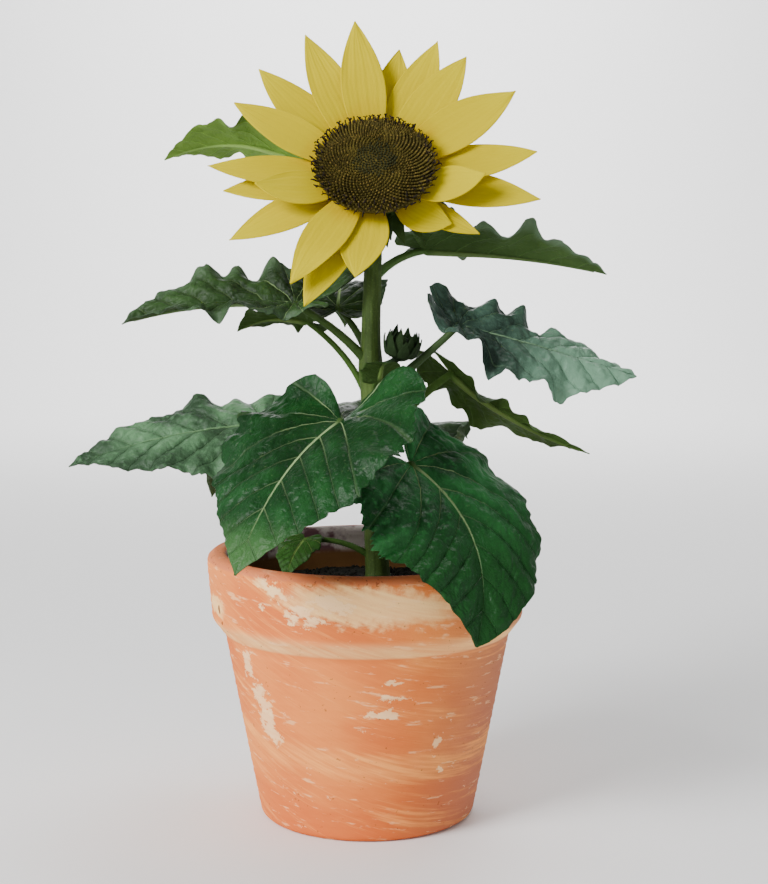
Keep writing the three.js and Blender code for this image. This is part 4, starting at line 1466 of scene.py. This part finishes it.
LEAVES = (
    Leaf("leaf_front_left", 168, 40, (-11, -50, 191), (-53, -110, 134), 0.1, 0, 84, (1.12, 1),
         (0, 0), (20, -8), -20, 2.5, 1.5, (13, 10), 2.7, Tint.HAZED, lobes=(1.2, 0.7), taper=(2.1, 1)),
    Leaf("leaf_front_right", 146, 40, (20, -50, 172), (47, -88, 99), 0.1, 0.13, 78, (0.9, 1.15),
         (3, 3), (11, 11), -25, 1.5, 1, (11, 2), 2.6, Tint.DEEP, taper=(2.8, 0.85), quilt=1.1),
    Leaf("leaf_low_left", 178, 30, (-48, -4, 185), (-138, -10, 166), 0.04, 0, 56, (1, 0.8),
         (-32, -30), (2, 2), -10, 3, 2, (2, 2), 2.4, Tint.PALE, quilt=1.3),
    Leaf("leaf_mid_left", 212, 50, (-33, -10, 241), (-112, -12, 232), 0.05, 0, 52, (0.6, 0.8),
         (-30, -25), (22, 30), -15, 4, 3.5, (2, 16), 2.2, Tint.SHADED, lobes=(1, 2.1), quilt=1.2),
    Leaf("leaf_inner_left", 190, 76, (-28, 8, 232), (-62, 22, 227), 0.1, 0, 32, (1, 1),
         (20, 20), (10, 10), -10, 2, 1.5, (1, 1), 1.7, Tint.OLIVE, teeth=4),
    Leaf("leaf_mid_right", 196, 38, (42, -9, 231), (124, -12, 208), 0.01, 0, 40, (1, 1),
         (28, 45), (18, -40), -10, 4, 4, (7, 15), 2.2, Tint.BLUE, taper=(4, 0.8), quilt=1.4),
    Leaf("leaf_low_right", 172, 50, (40, 20, 207), (109, 40, 166), -0.05, 0, 44, (1.2, 0.25),
         (-20, -20), (8, 8), -10, 3, 2.5, (2, 2), 2.4, Tint.OLIVE),
    Leaf("leaf_rear_high", 214, 60, (-14, 20, 238), (-12, 84, 226), 0.25, 0, 44, (1, 1),
         (0, 0), (10, 10), -10, 2, 2, (2, 2), 2.0, Tint.SHADED),
    Leaf("leaf_upper_left", 266, 50, (-34, 42, 308), (-99, 50, 309), 0.12, 0, 50, (1, 1),
         (22, 22), (10, 10), -10, 3, 2.5, (2, 2), 2.0, Tint.FRESH),
    Leaf("leaf_upper_right", 252, 40, (27, 24, 265), (114, 24, 254), 0.03, 0, 48, (1, 1),
         (-15, -12), (26, 26), -15, 3, 3.5, (-4, -3), 2.2, Tint.SAGE, lobes=(0.5, 0.8), taper=(3.2, 1)),
    Leaf("leaf_rear_right", 184, 50, (19, 42, 176), (42, 104, 152), 0.15, 0, 42, (0.7, 1.1),
         (0, 0), (10, 10), -20, 3, 2, (2, 2), 2.4, Tint.SHADED),
    Leaf("leaf_rear", 156, 50, (-14, 42, 184), (-30, 114, 160), 0.15, 0, 56, (1, 0.8),
         (0, 0), (10, 10), -20, 3, 2, (2, 2), 2.4, Tint.SHADED),
    Leaf("leaf_rear_left", 164, 45, (-34, 24, 168), (-80, 72, 140), 0.15, 0, 54, (1, 1),
         (0, 0), (10, 10), -20, 3, 2, (2, 2), 2.4, Tint.SHADED),
    Leaf("leaf_upper_rear", 258, 55, (4, 38, 290), (10, 100, 286), 0.15, 0, 48, (1, 1),
         (0, 0), (12, 12), -15, 3, 2, (2, 2), 2.0, Tint.SHADED),
    Leaf("leaf_in_pot", 119, 45, (-29, -6, 131), (-37, -24, 116), 0.1, 0, 20, (1, 1),
         (0, 0), (8, 8), -10, 1, 0.4, (0.5, 0.5), 1.5, Tint.YOUNG, teeth=3),
    Leaf("leaf_young", 198, 60, (6, -12, 207), (9, -28, 215), 0.15, 0, 18, (1, 1),
         (0, 0), (8, 8), -10, 0.5, 0.4, (0.5, 0.5), 1.5, Tint.YOUNG, teeth=3),
)


# ---------------------------------------------------------------- bloom


@dataclass
class Blade:
    """A petal or bract in the bloom's own frame, whose axis is +Z; angles are degrees."""

    bearing: float
    length: float
    width: float
    lift: float
    curl: float = 0.0
    sweep: float = 0.0
    roll: float = 0.0
    fold: float = 6.0
    layer: int = 0

    def pitch(self, s: Array) -> Array:
        """Its pitch in degrees at shares of its length: it rises to the lift and goes on with the curl."""
        return self.lift * np.minimum(1.0, s / 0.2) + self.curl * s**2

    def surface(
        self, root: float, level: float, widest: float, neck: float, rows: int, columns: int,
        thickness: float, ribs: float, power: float = 1.9,
    ) -> Skin:
        """The blade as a thin closed sheet.

        Its middle line sets off at the bearing, its pitch rises to the lift and goes on with the curl, and
        its bearing turns by the sweep. Half the width rises as a sine to its widest and falls as
        1 - x^power to the tip; each row bends down by the fold, with lengthwise ribs on it.

        Args:
            root: Radius of its root.
            level: Height of its root.
            widest: Share of the length at which it is widest.
            neck: Width at the root, as a share of the widest.
            rows: Rows along it.
            columns: Columns across it.
            thickness: Its thickness.
            ribs: Height of the lengthwise ribs.
            power: How blunt the tip is.

        Returns:
            The sheet, with the values "along" and "across".
        """
        middle = (np.arange(rows) + 0.5) / rows
        step = direction(self.bearing + self.sweep * middle, self.pitch(middle))
        b = math.radians(self.bearing)
        start = vec([root * math.cos(b), root * math.sin(b), level])
        line = start + np.concatenate([np.zeros((1, 3)), np.cumsum(step, axis=0)]) * self.length / rows
        s = np.linspace(0.0, 1.0, rows + 1)
        bearing = self.bearing + self.sweep * s
        level_side = direction(bearing + 90.0, 0.0)
        over = np.cross(direction(bearing, self.pitch(s)), level_side)
        roll = np.radians(self.roll * np.minimum(1.0, s / 0.3))[:, None]
        left = level_side * np.cos(roll) + over * np.sin(roll)
        up = over * np.cos(roll) - level_side * np.sin(roll)
        swell = mix(neck, 1.0, np.sin(np.minimum(s / widest, 1.0) * np.pi / 2))
        fall = 1.0 - np.clip((s - widest) / (1.0 - widest), 0.0, 1.0) ** power
        half = np.maximum(np.where(s < widest, swell, fall) * self.width / 2, 0.12)
        v = np.linspace(1.0, -1.0, columns)
        out = half[:, None] * v
        seed = int(self.bearing * 3 + self.length * 11)
        bend = math.radians(self.fold) / (self.width / 2)
        rise = (1.0 - np.cos(bend * np.abs(out))) / bend
        ridge = ribs * np.cos(np.pi * (v * 4.5 + 0.35 * np.sin(s * 4 + seed)[:, None]))
        ridge = ridge * smooth(0.0, 0.12, s)[:, None] * (1 - smooth(0.86, 1.0, s))[:, None] * (1 - v**6)
        wave = lattice_noise(s[:, None] * 3.2 + seed % 40, v * 1.6 + 8.0 + 0 * s[:, None], seed)
        wave = wave * self.width * 0.035 * smooth(0.15, 0.7, s)[:, None] * np.abs(v) ** 1.5
        height = (rise + ridge + wave)[..., None]
        surface = line[:, None] + out[..., None] * left[:, None] + height * up[:, None]
        values = {
            "along": np.broadcast_to(s[:, None], out.shape),
            "across": np.broadcast_to(v * 0.5 + 0.5, out.shape),
        }
        return sheet(surface, np.full(out.shape, thickness), values, over=1)


PETALS = (
    Blade(5, 55, 20, 8, layer=1), Blade(31, 57, 25, 11), Blade(55, 56, 22, 13, layer=1),
    Blade(68, 60, 21, 12, layer=2), Blade(81, 54, 20, 10, layer=3), Blade(97, 62, 21, 14),
    Blade(114, 63, 20, 12, layer=1), Blade(134, 60, 21, 10, layer=2), Blade(152, 55, 20, 10, layer=1),
    Blade(179, 57, 18, 6, layer=2), Blade(187, 50, 17, 2, layer=3), Blade(204, 38, 20, 14, 6, -24),
    Blade(209, 55, 19, 0, -4, layer=2), Blade(240, 54, 20, 2, -8), Blade(246, 57, 20, -3, -8, layer=2),
    Blade(262, 41, 23, 3, -4, fold=8, layer=1), Blade(309, 26, 18, 3, -12, 46, 12, 8, 2),
    Blade(322, 37, 13, -1, -4, 14, layer=3), Blade(337, 34, 21, 18, 10, 32), Blade(348, 57, 20, 3, layer=2),
)


@dataclass
class FlowerHead:
    """The bloom: seed disc of packed florets, ray petals, and the green cup with its bracts.

    All are made in the bloom's own frame, whose axis +Z is then turned to face -Y, up by the facing in
    degrees. The disc sits lower in the bloom's plane than the ring of petals, by the disc's drop.
    A ring of anthers is its count, its radius as a share of the disc's, its tilt and its height; a ring of
    bracts is the radius of its roots as a share of the petals', their level and their lift.
    """

    centre: tuple[float, float, float] = (3.9, -5.0, 303.0)
    facing: float = 38.0
    disc_radius: float = 27.3
    dome_height: float = 7.0
    undercut: float = 3.5
    disc_drop: float = 3.0
    petal_ring: float = 20.5
    petal_layer: float = 2.1
    cup_collar: float = 9.5
    cup_depth: float = 17.0
    stem_radius: float = 3.7
    florets: int = 1150
    anther_rings: tuple[tuple[int, float, float, float], ...] = (
        (40, 0.985, 0.95, 1.0), (38, 0.93, 0.62, 1.1), (32, 0.86, 0.42, 0.9),
    )
    bracts: int = 14
    bract_rings: tuple[tuple[float, float, float], ...] = (
        (0.84, -9.4, -4.0), (0.74, -11.6, -20.0), (0.6, -13.4, -38.0),
    )
    yellow: PetalFinish = PetalFinish(
        "petal_yellow", tip=(0.55, 0.45, 0.0), middle=(0.52, 0.41, 0.0), foot=(0.46, 0.285, 0.0)
    )
    core: GrainFinish = GrainFinish("disc_core", (0.018, 0.021, 0.006), (0.042, 0.043, 0.011), 1200.0)
    brown: GrainFinish = GrainFinish("disc_brown", (0.045, 0.034, 0.004), (0.1, 0.078, 0.011))
    tan: GrainFinish = GrainFinish("disc_tan", (0.11, 0.07, 0.012), (0.22, 0.15, 0.03), 1500.0)
    black: GrainFinish = GrainFinish("disc_anthers", (0.006, 0.004, 0.003), (0.02, 0.01, 0.006), 1500.0, 0.6)
    green: LeafFinish = LeafFinish("bract_green", (0.03, 0.06, 0.012), (0.03, 0.06, 0.012), shine=0.5)

    def placed(self, skin: Skin, drop: float = 0.0) -> Skin:
        """Turn a skin from the bloom's own frame to the plant's.

        Args:
            skin: The skin.
            drop: How far it is lowered in the bloom's plane.

        Returns:
            The skin in the plant's frame.
        """
        a = math.radians(90.0 - self.facing)
        turn = vec([[1, 0, 0], [0, math.cos(a), -math.sin(a)], [0, math.sin(a), math.cos(a)]])
        return skin.moved(turn, vec(self.centre) - turn[:, 1] * drop)

    def dome(self, r: Array) -> Array:
        """Height of the dome at a radius: undercut + rise · sqrt(1 - (r / disc radius)²)."""
        return self.undercut + self.dome_height * np.sqrt(np.maximum(0.0, 1 - (r / self.disc_radius) ** 2))

    def build(self) -> None:
        """Make disc, petals and cup."""
        self._disc()
        for number, petal in enumerate(PETALS, 1):
            name = f"petal_{number:02d}"
            level = -1.2 - petal.layer * self.petal_layer
            skin = petal.surface(self.petal_ring - 0.6, level, 0.42, 0.57, 46, 33, 0.4, 0.045)
            self.placed(skin).object(f"{name}_ray", self.yellow, [name], "petal")
        self._cup()

    def _disc(self) -> None:
        """Florets at the golden angle, radius as the square root of their number, from tight to open."""
        top = self.disc_radius * 0.97 * np.cos(np.linspace(0.0, np.pi / 2, 14))
        top[-1] = 0.0
        base = vec([[0.0, 0.0], [19.5, 0.0], [26.2, 3.2]])
        profile = np.concatenate([base, np.stack([top, self.dome(top) - 0.6], -1)])
        receptacle = self.placed(turned(profile, 72), self.disc_drop)
        receptacle.object("disc_receptacle", self.brown, ["head_disc"], "disc")
        k = np.arange(self.florets) + 0.5
        r = self.disc_radius * 0.97 * np.sqrt(k / self.florets)
        a = k * math.radians(GOLDEN_ANGLE)
        places = polar(r, a, self.dome(r) - 0.7)
        lean = (r / self.disc_radius) ** 2
        axes = np.stack([np.cos(a) * lean * 1.1, np.sin(a) * lean * 1.1, np.ones_like(a)], -1)
        rng = np.random.default_rng(3)
        share = r / self.disc_radius
        inner = share + rng.normal(0.0, 0.045, len(k)) < 0.34
        bud = turned(vec([[0.0, -0.2], [0.62, 0.0], [0.72, 0.7], [0.5, 1.3], [0.22, 1.65], [0.0, 1.75]]), 7)
        size = np.stack([0.62 + 0.3 * share, 0.62 + 0.3 * share, 0.65 + 1.0 * share**1.5], -1)
        size = size * rng.uniform(0.85, 1.15, (len(k), 1))
        turns = turns_to(axes, rng.uniform(0, 6, len(k)))
        for name, mask, finish in (("disc_buds", inner, self.core), ("disc_florets", ~inner, self.brown)):
            skin = scattered(bud, places[mask], turns[mask], size[mask])
            self.placed(skin, self.disc_drop).object(name, finish, slot="disc")
        self._tips(places, axes, share, rng)
        self._anthers(rng)

    def _tips(self, places: Array, axes: Array, share: Array, rng: np.random.Generator) -> None:
        """Tan pollen dots on some of the florets between the disc's middle and its edge.

        Args:
            places: Where the florets stand.
            axes: Which way they point.
            share: How far out each is, as a share of the disc's radius.
            rng: The disc's random numbers.
        """
        chosen = (share > 0.42) & (share < 0.93) & (rng.uniform(size=len(share)) < 0.42)
        dot = turned(vec([[0.0, -0.3], [0.3, -0.1], [0.3, 0.2], [0.0, 0.4]]), 5)
        height = (0.65 + 1.0 * share[chosen] ** 1.5) * 1.7
        at = places[chosen] + unit(axes[chosen]) * height[:, None]
        turns = turns_to(axes[chosen], np.zeros(chosen.sum()))
        dots = scattered(dot, at, turns, rng.uniform(0.7, 1.25, (chosen.sum(), 1)))
        self.placed(dots, self.disc_drop).object("disc_pollen", self.tan, slot="disc")

    def _anthers(self, rng: np.random.Generator) -> None:
        """Open florets in three rings round the rim: a dark stalk that forks in two curled arms.

        Args:
            rng: The disc's random numbers.
        """
        s = np.linspace(0.0, 1.0, 5)
        parts = [tube(np.stack([0 * s, 0 * s, s * 2.4], -1), np.full(5, 0.36), 5)]
        for side in (-1.0, 1.0):
            arm = np.stack([side * 1.25 * s**1.2, 0.15 * s, 2.3 + 1.2 * np.sin(s * 2.4)], -1)
            parts.append(tube(arm, 0.33 * (1.1 - 0.5 * s), 5))
        shape = Skin.joined(parts)
        rings = []
        for count, radius, tilt, tall in self.anther_rings:
            a = (np.arange(count) + rng.uniform(-0.25, 0.25, count)) * 2 * np.pi / count
            r = self.disc_radius * radius * np.ones(count)
            lean = tilt * rng.uniform(0.75, 1.25, count)
            axes = polar(lean, a, np.ones(count))
            places = polar(r, a, self.dome(r) - 0.3)
            size = rng.uniform(0.8, 1.15, (count, 1)) * tall
            rings.append(scattered(shape, places, turns_to(axes, rng.uniform(0, 6.3, count)), size))
        self.placed(Skin.joined(rings), self.disc_drop).object("disc_anthers", self.black, slot="disc")

    def _cup(self) -> None:
        """The cup, turned, and three rings of pointed bracts that lie back from it."""
        a = np.linspace(0.0, np.pi / 2, 18)
        out = mix(self.stem_radius + 0.6, self.petal_ring, np.sin(a))
        wall = np.stack([out, mix(-self.cup_collar, -self.cup_depth, np.cos(a))], -1)
        back, front = [0.0, -self.cup_depth - 0.3], [[self.petal_ring, -0.4], [0.0, -0.3]]
        profile = np.concatenate([[back], wall, front])
        skins = [turned(profile, 84)]
        for ring, (root, level, lift) in enumerate(self.bract_rings):
            for i in range(self.bracts):
                rng = np.random.default_rng(ring * 50 + i)
                bract = Blade(
                    bearing=360.0 * (i + ring * 0.5) / self.bracts + rng.uniform(-5, 5),
                    length=18 + rng.uniform(-2, 4) - ring * 1.5,
                    width=8.5,
                    lift=lift + rng.uniform(-6, 6),
                    curl=-18.0 + rng.uniform(-16, 10),
                    fold=14.0,
                )
                root_radius = self.petal_ring * root
                skins.append(bract.surface(root_radius, level, 0.3, 0.85, 16, 9, 0.5, 0.08, 1.25))
        for skin in skins:
            count = len(skin.points)
            skin.values.setdefault("under", np.ones(count))
            skin.values.update(out=np.full(count, 3.0), vein=np.full(count, 0.5))
        self.placed(Skin.joined(skins)).object("bloom_cup", self.green, ["head_cup"], "bract")


@dataclass
class Bud:
    """The closed side bud on its short stalk."""

    at: tuple[float, float, float] = (16.0, -10.0, 220.5)
    radius: float = 6.4
    tilt: float = 10.0
    stalk_height: float = 211.0
    stalk_radius: float = 1.7
    rings: tuple[tuple[int, float, float, float], ...] = (
        (8, 10.0, 70.0, 0.9), (8, 11.5, 80.0, 0.8), (7, 9.0, 92.0, 0.6),
    )
    fuzz: int = 260
    finish: LeafFinish = LeafFinish("bud_green", (0.015, 0.034, 0.011), (0.016, 0.034, 0.01), shine=0.5)

    def build(self, stem: Stem) -> None:
        """A ball under rings of pointed bracts, tipped a little, a curved stalk and short fuzz.

        Each ring is given by its count of bracts, their length, their lift and the radius of their roots
        as a share of the ball's.

        Args:
            stem: The stem that the stalk leaves.
        """
        a = np.linspace(-np.pi / 2, np.pi / 2, 14)
        profile = np.stack([self.radius * 0.94 * np.cos(a), self.radius * 0.9 * np.sin(a)], -1)
        profile[[0, -1], 0] = 0.0
        skins = [turned(profile, 28)]
        for ring, (count, length, lift, root) in enumerate(self.rings):
            for i in range(count):
                bearing = 360.0 * (i + ring * 0.5) / count + 10
                bract = Blade(bearing, length + i % 3, 6.0, lift, 26.0, fold=26.0)
                level = -self.radius * (0.5 - 0.12 * ring)
                skins.append(bract.surface(self.radius * root, level, 0.32, 0.8, 14, 9, 0.5, 0.06, 1.3))
        t = math.radians(self.tilt)
        about_x = vec([[1, 0, 0], [0, math.cos(t), -math.sin(t)], [0, math.sin(t), math.cos(t)]])
        about_y = vec([[math.cos(t), 0, math.sin(t)], [0, 1, 0], [-math.sin(t), 0, math.cos(t)]])
        head = Skin.joined(skins).moved(about_y @ about_x, vec(self.at))
        start, end = stem.at(self.stalk_height)[0], vec(self.at)
        bend = vec([end[0], end[1], mix(start[2], end[2], 0.3)])
        s = np.linspace(0.0, 1.0, 16)[:, None]
        path = quadratic(start, bend, end, s)
        stalk = tube(path, np.full(len(path), self.stalk_radius), 12)
        stalk.values.clear()
        rng = np.random.default_rng(8)
        z = rng.uniform(-0.8, 0.7, self.fuzz)
        turn = rng.uniform(0, 2 * np.pi, self.fuzz)
        out = polar(np.sqrt(1 - z**2), turn, z)
        fuzz = hairs(vec(self.at) + out * self.radius, out, rng.uniform(0.8, 1.5, self.fuzz))
        whole = Skin.joined([head, stalk, fuzz])
        count = len(whole.points)
        whole.values.update(out=np.full(count, 3.0), vein=np.full(count, 0.5))
        whole.object("side_bud", self.finish, ["bud"], "bract")


# ---------------------------------------------------------------- studio


@dataclass
class Studio:
    """Camera, floor and soft lights, in metres and degrees."""

    eye: tuple[float, float, float] = (0.008, -0.82, 0.2704)
    pitch: float = 6.54
    lens: float = 71.84
    horizon: float = 0.9
    zenith: float = 0.2

    def camera(self) -> None:
        """The camera, level but for its pitch."""
        data = bpy.data.cameras.new("camera")
        data.lens = self.lens
        data.sensor_width = 36.0
        camera = bpy.data.objects.new("camera", data)
        camera.location = self.eye
        camera.rotation_euler = (math.radians(90.0 - self.pitch), 0.0, 0.0)
        bpy.context.scene.collection.objects.link(camera)
        bpy.context.scene.camera = camera

    @staticmethod
    def area(name: str, place: Sequence[float], aim: Sequence[float], size: float, power: float) -> None:
        """A square soft light that looks at a point.

        Args:
            name: Its name.
            place: Where it hangs, in metres.
            aim: The point that it looks at.
            size: Its side.
            power: Its power in watts.
        """
        data = bpy.data.lights.new(name, "AREA")
        data.size = size
        data.energy = power
        light = bpy.data.objects.new(name, data)
        light.location = place
        toward = vec(aim) - vec(place)
        yaw = math.atan2(toward[1], toward[0])
        light.rotation_euler = (math.pi / 2 + math.asin(unit(toward)[2]), 0.0, yaw - math.pi / 2)
        bpy.context.scene.collection.objects.link(light)

    def build(self) -> None:
        """A floor that sweeps up into a wall far behind, the sky, two lights, and a third on the wall."""
        corner = np.radians(np.linspace(0.0, 90.0, 25))
        line = np.stack([1.9 + 0.8 * np.sin(corner), 0.8 - 0.8 * np.cos(corner)], -1)
        line = np.concatenate([[[-4.0, 0.0]], line, [[2.7, 4.0]]])
        points = np.stack([np.repeat([[-5.0, 5.0]], len(line), 0), *np.repeat(line.T[:, :, None], 2, 2)], -1)
        sweep = Skin(points.reshape(-1, 3) / MM, grid_quads(len(line), 2))
        sweep.mesh("backdrop", FloorFinish())
        self.sky()
        self.area("key", (-1.1, -0.95, 1.0), (0.0, 0.0, 0.2), 0.7, 42.0)
        self.area("top", (0.3, 0.5, 1.3), (0.0, 0.0, 0.25), 0.6, 9.0)
        self.area("wash", (0.0, 1.7, 1.4), (0.0, 2.7, 0.4), 0.9, 45.0)

    def sky(self) -> None:
        """An even white surround that darkens towards the zenith, so that leaves keep their depth."""
        world = bpy.data.worlds.new("studio_sky")
        world.use_nodes = True
        tree = world.node_tree
        place = tree.nodes.new("ShaderNodeTexCoord")
        axes = tree.nodes.new("ShaderNodeSeparateXYZ")
        fall = tree.nodes.new("ShaderNodeMapRange")
        for socket, value in zip(fall.inputs[1:5], (0.0, 0.9, self.horizon, self.zenith)):
            socket.default_value = value
        tree.links.new(place.outputs["Generated"], axes.inputs[0])
        tree.links.new(axes.outputs["Z"], fall.inputs[0])
        tree.links.new(fall.outputs[0], tree.nodes["Background"].inputs["Strength"])
        tree.nodes["Background"].inputs["Color"].default_value = (1.0, 1.0, 1.0, 1.0)
        bpy.context.scene.world = world


def main() -> None:
    """Build every part of the plant in order."""
    logging.basicConfig(level=logging.INFO, format="%(name)s: %(message)s")
    studio = Studio()
    studio.camera()
    Pot().build()
    Soil().build()
    stem = Stem()
    stem.build()
    for leaf in LEAVES:
        leaf.build(stem)
    Bud().build(stem)
    FlowerHead().build()
    studio.build()


if __name__ == "__main__":
    main()
